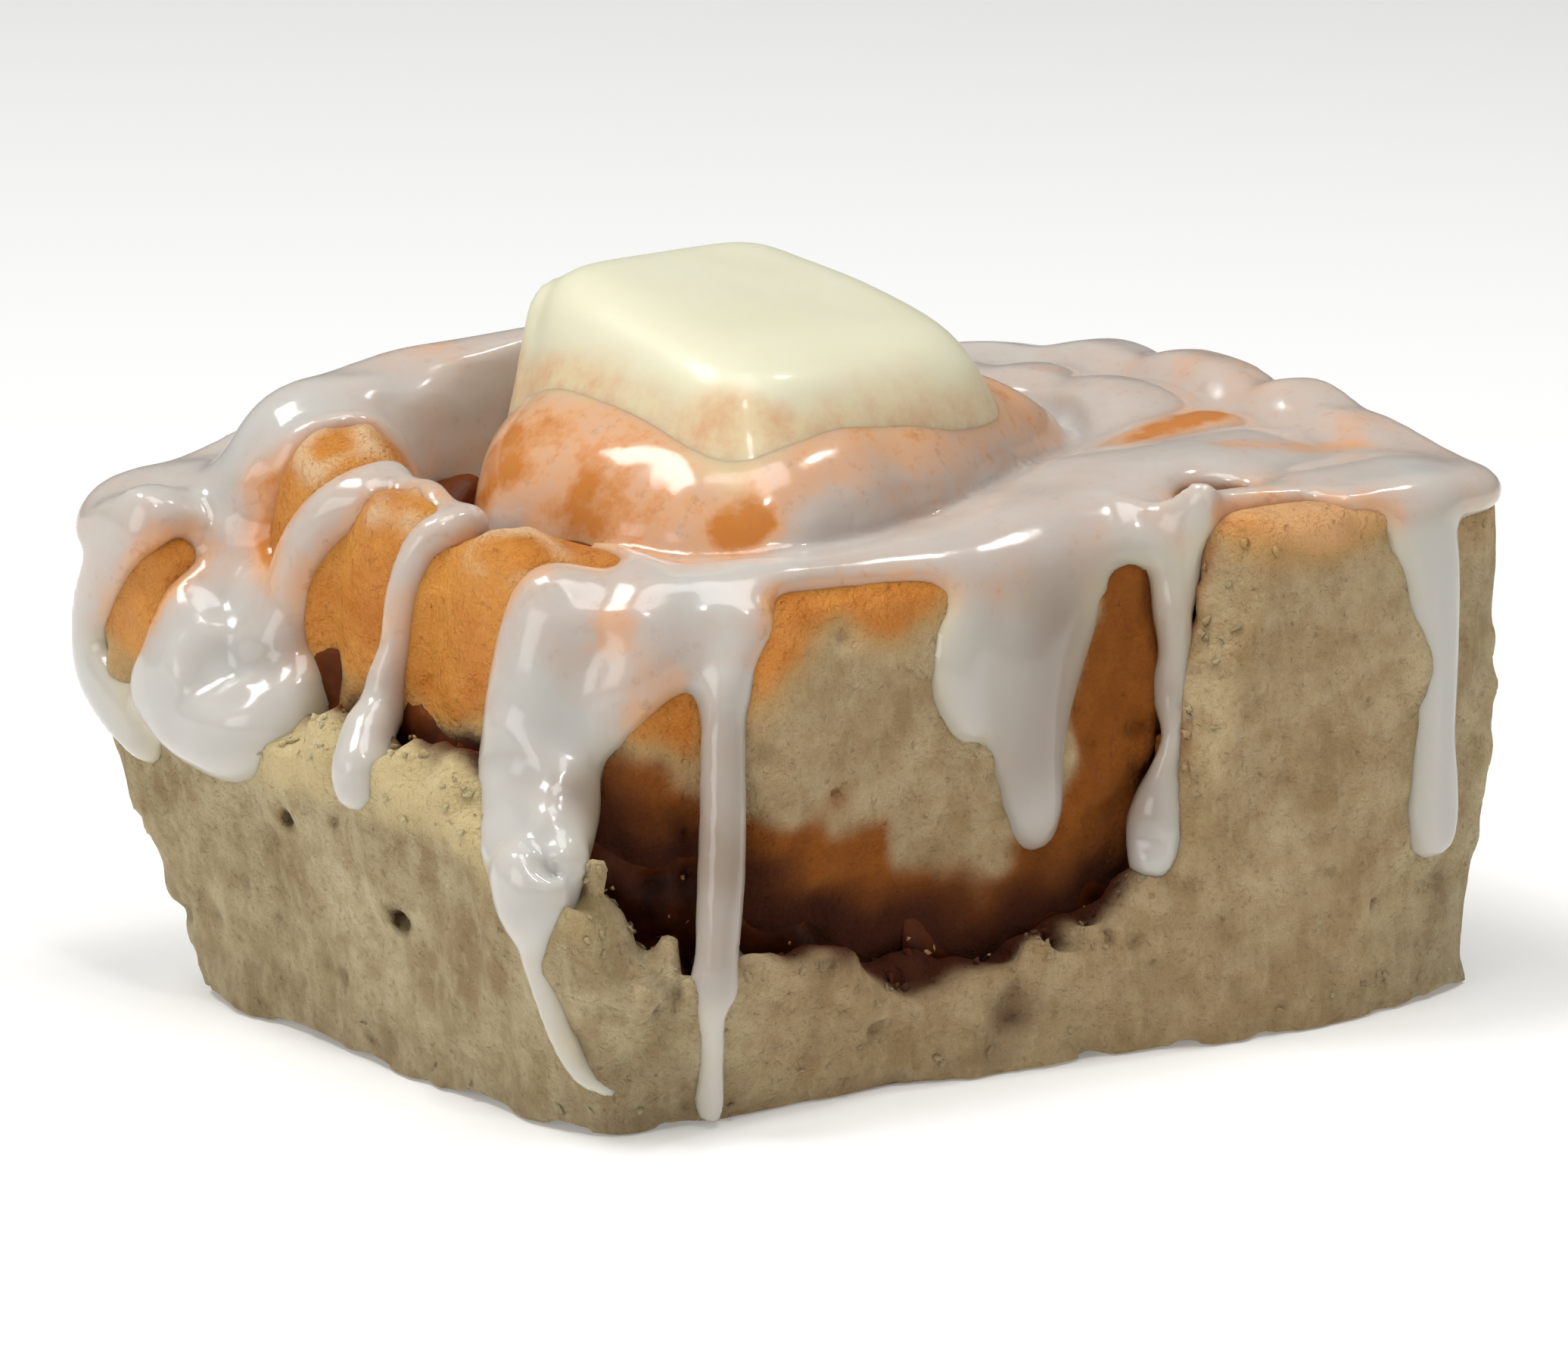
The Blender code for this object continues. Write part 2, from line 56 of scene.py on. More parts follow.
HALF_LENGTH = 41.0
HALF_WIDTH = 28.6
SEAM_ANGLE = radians(-141.5)
CORE_DEPTH = 14.0
CORE_SHIFT = (-1.0, 5.0)
CORE_SHARPNESS = 2.3
BACK_STRETCH = 1.06
BACK_SKEW = 0.0046
LEFT_FLARE = 0.0022
LEFT_FLARE_START = -10.0
LEAN_HEIGHT = 24.0
GROOVE_HEIGHT = 37.6
DOME_HALF_LENGTH = 26.5
DOME_HALF_WIDTH = 15.0
DOME_FRONT_HALF_WIDTH = 28.0
DOME_HEIGHT = 49.6
DOME_TILT = 0.14
DOME_FULLNESS = (2.2, 4.0)
DOME_SOFTNESS = (0.85, 0.62)
DOME_TURNS_FULL = (6.0, -14.0)
CENTRING = np.array([1.45, -3.25, 0.0])
METRES = 0.001

# Values against the turn, joined by smooth steps
CORNER_SHARPNESS = [
    (0.0, 9.0), (0.2, 9.0), (0.293, 15.0), (0.493, 6.0), (0.72, 10.0), (0.793, 14.0), (0.86, 10.0),
    (1.0, 9.0),
]
BASE_INSET = [
    (0.0, 4.8), (0.03, 5.4), (0.07, 4.8), (0.12, 3.0), (0.16, 2.2), (0.24, 0.8), (0.386, 0.6), (0.55, 3.4),
    (0.793, 4.4), (0.893, 3.6), (0.95, 4.2), (1.0, 4.8),
]
FILLING_DEPTH = [
    (0.0, 3.2), (0.136, 3.4), (0.2, 3.8), (0.286, 4.6), (0.386, 5.2), (0.486, 5.6), (0.786, 4.4),
    (0.9, 4.6), (1.0, 5.8), (1.06, 9.6), (1.136, 13.2), (1.286, 15.6), (1.486, 15.0), (1.636, 13.4),
    (1.886, 12.6), (2.0, 13.4),
]
INNER_LINE = [
    (0.0, 13.4), (0.136, 13.2), (0.286, 15.6), (0.486, 15.0), (0.636, 13.4), (0.8, 13.2), (0.85, 14.0),
    (0.93, 13.9), (1.0, 13.4),
]
DOME_SPREAD = [
    (0.0, 3.4), (0.03, 4.0), (0.07, 3.2), (0.12, 1.9), (0.24, 1.0), (0.32, 0.0), (0.93, 0.0), (0.97, 2.0),
    (1.0, 3.4),
]
CREST_HEIGHT = [
    (0.0, 38.3), (0.05, 38.3), (0.12, 38.8), (0.2, 39.9), (0.286, 41.2), (0.386, 43.2), (0.486, 42.6),
    (0.6, 45.6), (0.7, 48.2), (0.762, 47.8), (0.795, 46.4), (0.83, 44.6), (0.85, 43.2), (0.875, 41.4),
    (0.93, 40.4), (0.97, 39.4), (1.0, 38.3),
]
SHOULDER_DROP = [(0.0, 4.0), (0.19, 3.0), (0.23, 1.0), (0.72, 1.6), (0.8, 5.0), (0.92, 6.0), (1.0, 5.0)]

# The grid on which the soft shapes are worked out, fine enough for the holes in the crumb
VOXEL = 0.52
LOW = np.array([-46.6, -32.4, -1.3])
HIGH = np.array([43.8, 37.5, 57.2])
lines = [np.arange(LOW[i], HIGH[i], VOXEL, dtype=np.float32) for i in range(3)]
X, Y, Z = lines[0][:, None, None], lines[1][None, :, None], lines[2][None, None, :]
flat_x, flat_y = X[:, :, 0], Y[:, :, 0]

# Spreads a map seen from above over every height
UP = np.s_[:, :, None]


def read_knots(knots, position):
    """The values at positions between knots of rising position."""
    places = np.array([place for place, _ in knots], dtype=np.float32)
    values = np.array([value for _, value in knots], dtype=np.float32)
    position = np.clip(position, places[0], places[-1])
    after = np.clip(np.searchsorted(places, position), 1, len(places) - 1)
    share = (position - places[after - 1]) / (places[after] - places[after - 1])
    return values[after - 1] + (values[after] - values[after - 1]) * share * share * (3.0 - 2.0 * share)


def ease(value, start, end):
    """Rises smoothly from 0 where the value is at its start to 1 where it is at its end."""
    share = np.clip((value - start) / (end - start), 0.0, 1.0)
    return share * share * (3.0 - 2.0 * share)


def soft_max(first, second, blend):
    """The greater of two fields, rounded off where they are within the blend of each other."""
    near = np.maximum(0.0, 1.0 - np.abs(first - second) / blend)
    return np.maximum(first, second) + near * near * blend / 4.0


def soft_min(first, second, blend):
    """The lesser of two fields, rounded off where they are within the blend of each other."""
    return -soft_max(-first, -second, blend)


def outline_at(x, y, depth):
    """The share of a turn at each place, and its distance inside the outline of this depth."""
    inwards = np.clip(depth / CORE_DEPTH, 0.0, 1.0)
    y = np.where(y > 0.0, y / (BACK_STRETCH - BACK_SKEW * x * (1.0 - inwards)), y)
    flared = (x < 0.0) & (y > LEFT_FLARE_START)
    x = np.where(flared, x / (1.0 + LEFT_FLARE * (y - LEFT_FLARE_START)), x)
    x = x - CORE_SHIFT[0] * inwards
    y = y - CORE_SHIFT[1] * inwards
    angle = np.arctan2(y, x)
    share = ((angle - SEAM_ANGLE) / (2.0 * pi)) % 1.0
    sharpness = read_knots(CORNER_SHARPNESS, share) * (1.0 - inwards) + CORE_SHARPNESS * inwards
    along = np.abs(np.cos(angle)) / (HALF_LENGTH - depth)
    across = np.abs(np.sin(angle)) / (HALF_WIDTH - depth)
    radius = (along**sharpness + across**sharpness) ** (-1.0 / sharpness)
    return share, radius - np.hypot(x, y)


FARTHEST_OUT = -12.0
HALVINGS = 24


def locate(x, y):
    """The share of a turn and the depth of places seen from above, where the walls stand upright."""
    shallow = np.full(x.shape, FARTHEST_OUT)
    deep = np.full(x.shape, HALF_WIDTH - 0.2)
    for _ in range(HALVINGS):
        depth = (shallow + deep) / 2.0
        share, inside = outline_at(x, y, depth)
        shallow = np.where(inside > 0.0, depth, shallow)
        deep = np.where(inside > 0.0, deep, depth)
    return share, depth


def lumps(size, seed, stretch=(1.0, 1.0, 1.0)):
    """A field of smooth random lumps about this many millimetres across, of mean 0 and spread 1."""
    spreads = []
    for line, pull in zip(lines, stretch):
        position = (line - line[0]) / (size * pull) + 1.0
        knots = np.arange(int(position[-1]) + 4)
        away = np.abs(position[:, None] - knots[None, :])
        inner = 2.0 / 3.0 - away**2 + away**3 / 2.0
        outer = np.maximum(0.0, 2.0 - away) ** 3 / 6.0
        spreads.append(np.where(away < 1.0, inner, outer).astype(np.float32))
    values = np.random.default_rng(seed).standard_normal([len(spread[0]) for spread in spreads])
    field = np.einsum("xa,abc->xbc", spreads[0], values.astype(np.float32), optimize=True)
    field = np.einsum("yb,xbc->xyc", spreads[1], field, optimize=True)
    field = np.einsum("zc,xyc->xyz", spreads[2], field, optimize=True)
    return field / field.std()


def slope_of(height):
    """How much longer a step along a map of heights is than the same step seen from above."""
    along, across = np.gradient(height, VOXEL)
    return np.sqrt(1.0 + np.minimum(along**2 + across**2, 2.5))


share, flat_depth = locate(*np.meshgrid(lines[0].astype(float), lines[1].astype(float), indexing="ij"))
share = share.astype(np.float32)
flat_depth = flat_depth.astype(np.float32)
lean = read_knots(BASE_INSET, share)[UP] * np.maximum(0.0, 1.0 - Z / LEAN_HEIGHT)
outside = flat_depth[UP] - lean
leaned = outside / (1.0 - lean / CORE_DEPTH)
leaned = np.where(flat_depth[UP] < CORE_DEPTH, leaned, outside + lean)
depth = np.where(outside < 0.0, outside, leaned).astype(np.float32)

# The filling's depths here: the outer line, eased over the step at the seam, and the inner line
outer_line = read_knots(FILLING_DEPTH, share)
outer_line += (FILLING_DEPTH[8][1] - FILLING_DEPTH[0][1]) * (1.0 - ease(share, 0.0, 0.035))
inner_line = read_knots(INNER_LINE, share)
dome_line = inner_line - read_knots(DOME_SPREAD, share)
FILLING_HALF = 0.85

# Folds across the top at the right end, as lines seen from above with a half width and a depth
FOLDS = [
    ((42.0, 22.5), (21.0, 13.0), 3.0, 0.9), ((43.0, 10.0), (19.0, 6.5), 2.8, 0.9),
    ((43.5, -3.6), (15.0, -5.0), 2.6, 1.2), ((36.0, -11.0), (16.0, -9.5), 1.8, 0.5),
]
folds = np.zeros_like(share)
for start, end, half_width, fold_depth in FOLDS:
    run = np.subtract(end, start)
    along = ((flat_x - start[0]) * run[0] + (flat_y - start[1]) * run[1]) / np.dot(run, run)
    along = np.clip(along, 0.0, 1.0)
    away = np.hypot(flat_x - start[0] - along * run[0], flat_y - start[1] - along * run[1])
    folds = folds + fold_depth * np.exp(-((away / half_width) ** 2)) * (1.0 - 0.5 * along)

# The ring's rounded top, with the lobes that bulge out on the left between the strands of icing
LOBES = [(-6.4, 6.4), (6.0, 5.4), (15.6, 4.6)]
LOBE_HEIGHT = 1.6
crest = read_knots(CREST_HEIGHT, share)
across = np.clip((flat_depth - outer_line) / (inner_line - outer_line), -0.2, 1.2)
edge = np.minimum(np.abs(2.0 * across - 1.0), 1.3)
shoulder = np.where(across < 0.5, read_knots(SHOULDER_DROP, share), crest - GROOVE_HEIGHT)
ring_top = crest - shoulder * edge ** np.where(across < 0.5, 2.6, 5.0) - folds
left_side = ease(share, 0.8, 0.83) * (1.0 - ease(share, 0.965, 0.99))
swell = np.max([1.0 - ((lines[1] - middle) / half) ** 2 for middle, half in LOBES], axis=0)
lobes = (np.maximum(swell, -0.6) - 0.55)[None, :] * LOBE_HEIGHT * left_side
lobes = lobes[UP] * ease(Z, 24.0, 30.0)

# The dome in the middle, which leaves a groove round itself
dome_half_width = np.where(flat_y < CORE_SHIFT[1], DOME_FRONT_HALF_WIDTH, DOME_HALF_WIDTH)
reach = np.hypot((flat_x - CORE_SHIFT[0]) / DOME_HALF_LENGTH, (flat_y - CORE_SHIFT[1]) / dome_half_width)
full = ease(flat_x, *DOME_TURNS_FULL)
fullness = DOME_FULLNESS[0] + (DOME_FULLNESS[1] - DOME_FULLNESS[0]) * full
softness = DOME_SOFTNESS[0] + (DOME_SOFTNESS[1] - DOME_SOFTNESS[0]) * full
dome_rise = np.maximum(0.0, 1.0 - reach**fullness) ** softness
dome_peak = DOME_HEIGHT + DOME_TILT * (flat_y - CORE_SHIFT[1])
dome_top = GROOVE_HEIGHT + (dome_peak - GROOVE_HEIGHT) * dome_rise

ring_wall = outer_line[UP] + FILLING_HALF - depth
ring = soft_max(ring_wall, (Z - ring_top[UP]) / slope_of(ring_top)[UP], 5.0)
ring = soft_max(ring - lobes, depth - inner_line[UP] + 0.4, 3.0)
core = (Z - dome_top[UP]) / slope_of(dome_top)[UP]
core = soft_max(dome_line[UP] + 0.4 - depth, core, 4.0)
inside = np.maximum(ring_wall + 1.5, Z - 36.0)
inner_smooth = np.maximum(soft_min(np.minimum(ring, core), inside, 1.0), -Z)

# How much of the surface is crumb, crust, and crumb stained by the filling
CRUST_START = [
    (0.0, 26.5), (0.008, 28.0), (0.02, 30.4), (0.035, 31.6), (0.06, 32.6), (0.09, 34.0), (0.12, 36.0),
    (0.2, 37.0), (0.3, 37.4), (0.7, 41.0), (0.79, 38.0), (0.82, 28.0), (0.97, 28.0), (1.0, 26.5),
]
STAIN_TOP = [
    (0.0, 24.0), (0.023, 21.5), (0.045, 21.6), (0.06, 22.2), (0.071, 21.8), (0.082, 15.6), (0.09, 14.2),
    (0.12, 14.2), (0.135, 15.0), (0.148, 17.0), (0.165, 20.5), (0.18, 26.5), (0.19, 32.5), (0.2, 38.0),
    (0.22, 38.0), (0.75, 36.0), (0.82, 30.0), (1.0, 24.0),
]
GOO_TOP = [
    (0.0, 18.6), (0.012, 16.8), (0.023, 15.0), (0.06, 12.6), (0.09, 10.6), (0.13, 11.4), (0.15, 12.4),
    (0.19, 13.2), (0.218, 12.5), (0.24, 36.0), (0.7, 37.5), (0.82, 36.0), (0.84, 28.6), (0.924, 28.6),
    (0.967, 22.5), (1.0, 18.6),
]
broad = lumps(8.0, 3)
middling = lumps(3.2, 4)
small = lumps(1.5, 5)
fine = lumps(0.95, 6)
fibres = lumps(1.3, 7, (1.0, 1.0, 3.4))
crust_edge = read_knots(CRUST_START, share)[UP] + 0.9 * middling + 0.3 * small
crust = ease(Z - crust_edge, -2.2, 1.8)
stain_edge = read_knots(STAIN_TOP, share)[UP] + 1.1 * middling + 0.6 * small
stain = (1.0 - ease(Z - stain_edge, -1.0, 1.8)) * ease(Z, 2.0, 8.0)
beside_inner_line = np.abs(flat_depth - inner_line)[UP]
in_groove = (1.0 - ease(beside_inner_line, 1.2, 2.4)) * (1.0 - ease(Z, 38.0, 40.0)) * ease(Z, 30.0, 33.0)
crust = crust * (1.0 - in_groove)
# painted shade: the whole front side is faintly darkened and browned
front_shade = (ease(share, 0.0, 0.03) * (1.0 - ease(share, 0.26, 0.3)))[UP]
tan = np.maximum(ease(Z - crust_edge, -6.0, 0.5), 0.3 * front_shade)
stain = np.maximum(stain, in_groove)
goo_rim = read_knots(GOO_TOP, share)[UP] + 0.9 * middling + 0.4 * small
soak = np.maximum(1.0 - ease(Z - goo_rim, -0.5, 5.5), in_groove)

# Torn crumb: soft lumps, a few small holes, and upright fibres on the right of the front
holes = np.maximum(0.0, small - 2.5) * 0.4 + np.maximum(0.0, fine - 1.9) * 0.35
crumb_relief = (
    0.26 * broad + 0.1 * middling - 0.1 * np.abs(middling) + 0.08 + 0.08 * small + 0.07 * fine + holes
)
fibre_share = ease(share, 0.19, 0.235)[UP] * ease(Z, 2.0, 8.0)
crumb_relief = crumb_relief + fibre_share * 0.16 * fibres
crust_relief = 0.12 * broad + 0.05 * middling
flaky = left_side[UP] * ease(swell, 0.5, 0.9)[None, :, None] * ease(Z - crest[UP], -2.6, -1.0)
short_of_dome = 1.0 - ease(flat_depth - dome_line, -3.0, -1.5)
flaky = flaky * ease(middling + small, -0.4, 0.7) * short_of_dome[UP]
inner_relief = crumb_relief * (1.0 - crust) + (crust_relief - 0.22 * flaky + 0.1 * fine * flaky) * crust
inner_body = np.maximum(inner_smooth + inner_relief, -Z)


def read_field(field, places):
    """The field's values at places, from the eight nearest points of the grid."""
    position = (places - LOW) / VOXEL
    last = np.array(field.shape) - 2
    corner = np.clip(np.floor(position).astype(int), 0, last)
    share_in = np.clip(position - corner, 0.0, 1.0)
    total = 0.0
    for step in product((0, 1), repeat=3):
        near = np.abs(1 - np.array(step) - share_in)
        x, y, z = (corner + step).T
        total = total + near[:, 0] * near[:, 1] * near[:, 2] * field[x, y, z]
    return total


def joined_parts(count, edges):
    """For each point the lowest number among the points that it is joined to."""
    labels = np.arange(count)
    while True:
        lowest = np.minimum(labels[edges[:, 0]], labels[edges[:, 1]])
        spread = labels.copy()
        np.minimum.at(spread, edges[:, 0], lowest)
        np.minimum.at(spread, edges[:, 1], lowest)
        spread = spread[spread]
        if np.array_equal(spread, labels):
            return labels
        labels = spread


def mould(name, field, painted, material, least_points=400):
    """A closed piece where the field is below nought, with painted fields kept on its points."""
    grid = openvdb.FloatGrid(1.0)
    grid.copyFromArray(np.ascontiguousarray(field, dtype=np.float32))
    points, triangles, quads = grid.convertToPolygons(0.0, 0.0)
    edges = [quads[:, [i, (i + 1) % 4]] for i in range(4)]
    edges += [triangles[:, [i, (i + 1) % 3]] for i in range(3)]
    labels = joined_parts(len(points), np.concatenate(edges).astype(np.int64))
    sizes = np.bincount(labels, minlength=len(points))
    kept = sizes[labels] >= least_points
    renumbered = np.cumsum(kept) - 1
    quads = renumbered[quads[kept[quads[:, 0]]]]
    triangles = renumbered[triangles[kept[triangles[:, 0]]]]
    places = LOW + points[kept] * VOXEL
    mesh = bpy.data.meshes.new(name)
    mesh.from_pydata(((places + CENTRING) * METRES).tolist(), [], quads.tolist() + triangles.tolist())
    for label, values in painted.items():
        layer = mesh.attributes.new(label, "FLOAT", "POINT")
        layer.data.foreach_set("value", read_field(values, places).astype(np.float32))
    corners = places[quads]
    first = np.cross(corners[:, 1] - corners[:, 0], corners[:, 2] - corners[:, 0])
    if np.einsum("ij,ij->", first, corners[:, 0]) < 0.0:
        mesh.flip_normals()
    mesh.shade_smooth()
    mesh.materials.append(material)
    piece = bpy.data.objects.new(name, mesh)
    bpy.context.scene.collection.objects.link(piece)
    return piece


def linear(hex_colour):
    """A colour written as sRGB hex, as the linear values that a shader takes."""
    shares = [int(hex_colour[i:i + 2], 16) / 255.0 for i in (1, 3, 5)]
    return (*[s / 12.92 if s <= 0.04045 else ((s + 0.055) / 1.055) ** 2.4 for s in shares], 1.0)


def add(tree, kind, settings=None, **inputs):
    """Adds a node with its settings. Its inputs are nodes, sockets, values, or colours as sRGB hex."""
    node = tree.nodes.new(kind)
    for key, value in (settings or {}).items():
        setattr(node, key, value)
    for key, value in inputs.items():
        socket = node.inputs[int(key[1:])] if key[1:].isdigit() else node.inputs[key.replace("_", " ")]
        if isinstance(value, bpy.types.Node):
            value = value.outputs[0]
        if isinstance(value, bpy.types.NodeSocket):
            tree.links.new(value, socket)
        else:
            socket.default_value = linear(value) if socket.type == "RGBA" else value
    return node


def new_material(name):
    """An empty material and its tree."""
    material = bpy.data.materials.new(name)
    material.use_nodes = True
    material.node_tree.nodes.clear()
    return material, material.node_tree


def painted_over(tree, base, *coats):
    """Paints colours over a base, each where its value runs from none to full, up to its strength."""
    for value, none_at, full_at, strength, colour in coats:
        cover = add(tree, "ShaderNodeMapRange", Value=value, i1=none_at, i2=full_at, i4=strength)
        base = add(tree, "ShaderNodeMix", {"data_type": "RGBA"}, i0=cover, i6=base, i7=colour).outputs[2]
    return base


def finish_surface(tree, **look):
    """Gives a material its shader, with this look, and its output."""
    shader = add(tree, "ShaderNodeBsdfPrincipled", **look)
    add(tree, "ShaderNodeOutputMaterial", Surface=shader)


# Baked yeast dough: matt, felt-like crumb that light sinks into, and a thin browned crust with a faint
# shine. The crumb's cells are about 0.5 mm, its pores 0.9 mm apart, its clouds of colour 7 mm across.
# Painted shade darkens the crumb towards the base, inside its holes and pores, and over the front side.
dough_material, tree = new_material("baked yeast dough")
place = add(tree, "ShaderNodeTexCoord").outputs["Object"]
crust_at, stain_at, soak_at, pit_shade_at, ledge_at, tan_and_front_shade_at, flaky_at = [
    add(tree, "ShaderNodeAttribute", {"attribute_name": label}).outputs["Fac"]
    for label in ("crust", "stain", "soak", "pit", "ledge", "tan", "flaky")
]
height = add(tree, "ShaderNodeSeparateXYZ", i0=place).outputs[2]
upright = add(tree, "ShaderNodeVectorMath", {"operation": "MULTIPLY"}, i0=place, i1=(1.0, 1.0, 0.45))
clouds, tufts, cells, streaks = [
    add(tree, "ShaderNodeTexNoise", Vector=at, Scale=1.0 / METRES / size, Detail=detail, Roughness=rough)
    for at, size, detail, rough in (
        (place, 7.0, 5.0, 0.6), (place, 2.2, 4.0, 0.6), (place, 0.5, 4.0, 0.7), (upright, 1.5, 4.0, 0.6),
    )
]
pores = add(tree, "ShaderNodeTexVoronoi", Vector=place, Scale=1.0 / METRES / 0.9).outputs["Distance"]
soaked = painted_over(tree, "#B0671D", (tufts, 0.0, 1.0, 1.0, "#854610"), (soak_at, 0.0, 1.0, 1.0, "#4C1F05"))
golden = painted_over(
    tree, "#E89E47", (clouds, 0.36, 0.64, 1.0, "#D2802B"), (flaky_at, 0.0, 1.0, 1.0, "#EFC596"),
)
baked = painted_over(
    tree, "#A48D68", (clouds, 0.36, 0.64, 1.0, "#D0BE98"), (tufts, 0.44, 0.7, 0.6, "#A0875E"),
    # painted shade: darker and greyer in the lowest 12 mm, towards the base, and darker inside the holes
    (height, 0.012, 0.0, 0.35, "#8F8163"), (pit_shade_at, 0.0, 1.0, 1.0, "#6E5A3A"),
    (cells, 0.58, 0.74, 0.5, "#94805A"), (streaks, 0.48, 0.7, 0.38, "#DACCA6"),
    # painted shade: each pore is darker at its middle, where its bump dips
    (pores, 0.24, 0.04, 0.32, "#85704A"), (ledge_at, 0.0, 1.0, 0.85, "#DDC794"),
    # browning below the crust, and painted shade darkening the front side
    (tan_and_front_shade_at, 0.0, 1.0, 0.75, "#CFA36C"), (stain_at, 0.0, 1.0, 1.0, soaked),
    (crust_at, 0.0, 0.55, 1.0, "#CFA061"), (crust_at, 0.35, 0.95, 1.0, golden),
)
cell_height = add(tree, "ShaderNodeBump", Height=cells, Strength=0.9, Distance=0.0006)
pore_rise = add(tree, "ShaderNodeMapRange", Value=pores, i1=0.05, i2=0.34)
pore_height = add(tree, "ShaderNodeBump", Height=pore_rise, Strength=0.4, Distance=0.0004, Normal=cell_height)
tuft_height = add(tree, "ShaderNodeBump", Height=tufts, Strength=0.65, Distance=0.0016, Normal=pore_height)
roughness = add(tree, "ShaderNodeMapRange", Value=crust_at, i3=0.95, i4=0.28)
finish_surface(
    tree, Base_Color=baked, Roughness=roughness, Normal=tuft_height,
    Subsurface_Weight=0.4, Subsurface_Radius=(1.0, 0.75, 0.5), Subsurface_Scale=0.0018, IOR=1.4,
    Specular_IOR_Level=0.45,
)

# painted shade: the holes in the crumb are painted darker inside
hollows = np.clip(holes * 1.6, 0.0, 1.0)
inner = mould("inner_turns", inner_body, {
    "crust": crust, "stain": stain, "soak": soak, "pit": hollows * (1.0 - crust), "tan": tan, "flaky": flaky,
}, dough_material)
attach(inner, "root")


# The outermost turn
# The end of the strip, which stuck to the next rolls and was torn away with them on the front and left.
# What is left there is a low skirt of bare crumb, and it is whole on the right and at the back.

SKIRT_HEIGHT = [
    (-0.02, 14.0), (0.0, 13.4), (0.025, 12.9), (0.05, 11.4), (0.085, 8.6), (0.12, 9.4), (0.16, 10.0),
    (0.18, 11.2), (0.2, 13.0), (0.212, 20.0), (0.22, 30.0), (0.23, 39.8), (0.303, 40.0), (0.34, 42.0),
    (0.3625, 43.6), (0.39, 43.8), (0.4125, 43.8), (0.45, 42.8), (0.5, 42.0), (0.6, 44.3), (0.7, 45.6),
    (0.75, 43.2), (0.786, 39.0), (0.814, 37.0), (0.838, 24.0), (0.85, 22.5), (0.87, 23.3), (0.924, 23.3),
    (0.957, 20.0), (0.974, 18.6), (0.984, 14.8), (0.992, 13.6), (1.0, 13.4),
]
SKIRT_RISE = [(0.0, 0.0), (0.2, 0.0), (0.24, 0.5), (0.82, 0.5), (0.845, 4.0), (0.93, 4.0), (1.0, 1.0)]
TORN_DEPTH = [
    (0.0, 0.4), (0.19, 0.3), (0.22, -0.8), (0.25, -1.6), (0.4, -0.6), (0.6, 0.0), (0.75, -0.6),
    (0.815, -1.2), (0.85, 0.2), (1.0, 0.4),
]
END_LUMP = (-33.0, -18.0)
END_LUMP_RADIUS = 1.6
END_LUMP_TOP = 21.5
STAR_HOLE = (-1.3, 13.2)
STAR_HOLE_RADIUS = 0.7

ragged_rim = 0.8 * middling + 0.7 * small
line = read_knots(FILLING_DEPTH, share)
torn_wall = read_knots(TORN_DEPTH, share)[UP] - depth
groove_below = ease(Z, 2.0, 4.0)
inner_wall = depth - line[UP] + FILLING_HALF - 2.4 * groove_below * (1.0 - ease(Z, 9.0, 12.0))
over = np.clip(flat_depth / line, 0.0, 1.0)
rim = read_knots(SKIRT_HEIGHT, share) + read_knots(SKIRT_RISE, share) * over - folds
torn_rim = 1.0 - ease(share, 0.225, 0.24) * (1.0 - ease(share, 0.8, 0.82))
top = (Z - rim[UP] - ragged_rim * torn_rim[UP]) / np.minimum(slope_of(rim), 4.0)[UP]
skirt = soft_max(soft_max(torn_wall, inner_wall, 1.0), top, 2.2)
end_lump = np.hypot(X - END_LUMP[0] + 0.13 * Z, Y - END_LUMP[1] + 0.09 * Z) - END_LUMP_RADIUS - 0.5 * middling
end_lump = soft_max(end_lump, Z - END_LUMP_TOP, 2.0)
outer_smooth = np.maximum(soft_min(skirt, end_lump, 1.5), -Z)
star_hole = np.sqrt(0.5 * depth**2 + (Y - STAR_HOLE[0]) ** 2 + (Z - STAR_HOLE[1]) ** 2)
star_hole = STAR_HOLE_RADIUS + 0.5 * fine + 0.3 * small - star_hole
star_hole = np.where(X > 0.0, -5.0, star_hole)
OUTER_CRUST_START = [
    (0.0, 60.0), (0.2, 60.0), (0.23, 38.8), (0.3, 39.4), (0.386, 39.0), (0.5, 38.4), (0.6, 42.0),
    (0.7, 43.0), (0.76, 36.0), (0.79, 29.0), (0.83, 27.0), (0.845, 26.0), (0.86, 60.0),
]
outer_crust_edge = read_knots(OUTER_CRUST_START, share)[UP]
outer_crust = ease(Z - outer_crust_edge - 0.7 * middling - 0.3 * small, -2.2, 1.2)
outer_stain = ease(depth - outer_line[UP] + 2.6 + 0.5 * middling, 0.0, 1.4)
outer_stain = outer_stain * (1.0 - ease(share, 0.22, 0.24) * (1.0 - ease(share, 0.81, 0.83)))[UP]
outer_relief = crumb_relief * (1.0 - outer_crust) + crust_relief * outer_crust
outer_body = np.maximum(np.maximum(outer_smooth + outer_relief, star_hole), -Z)
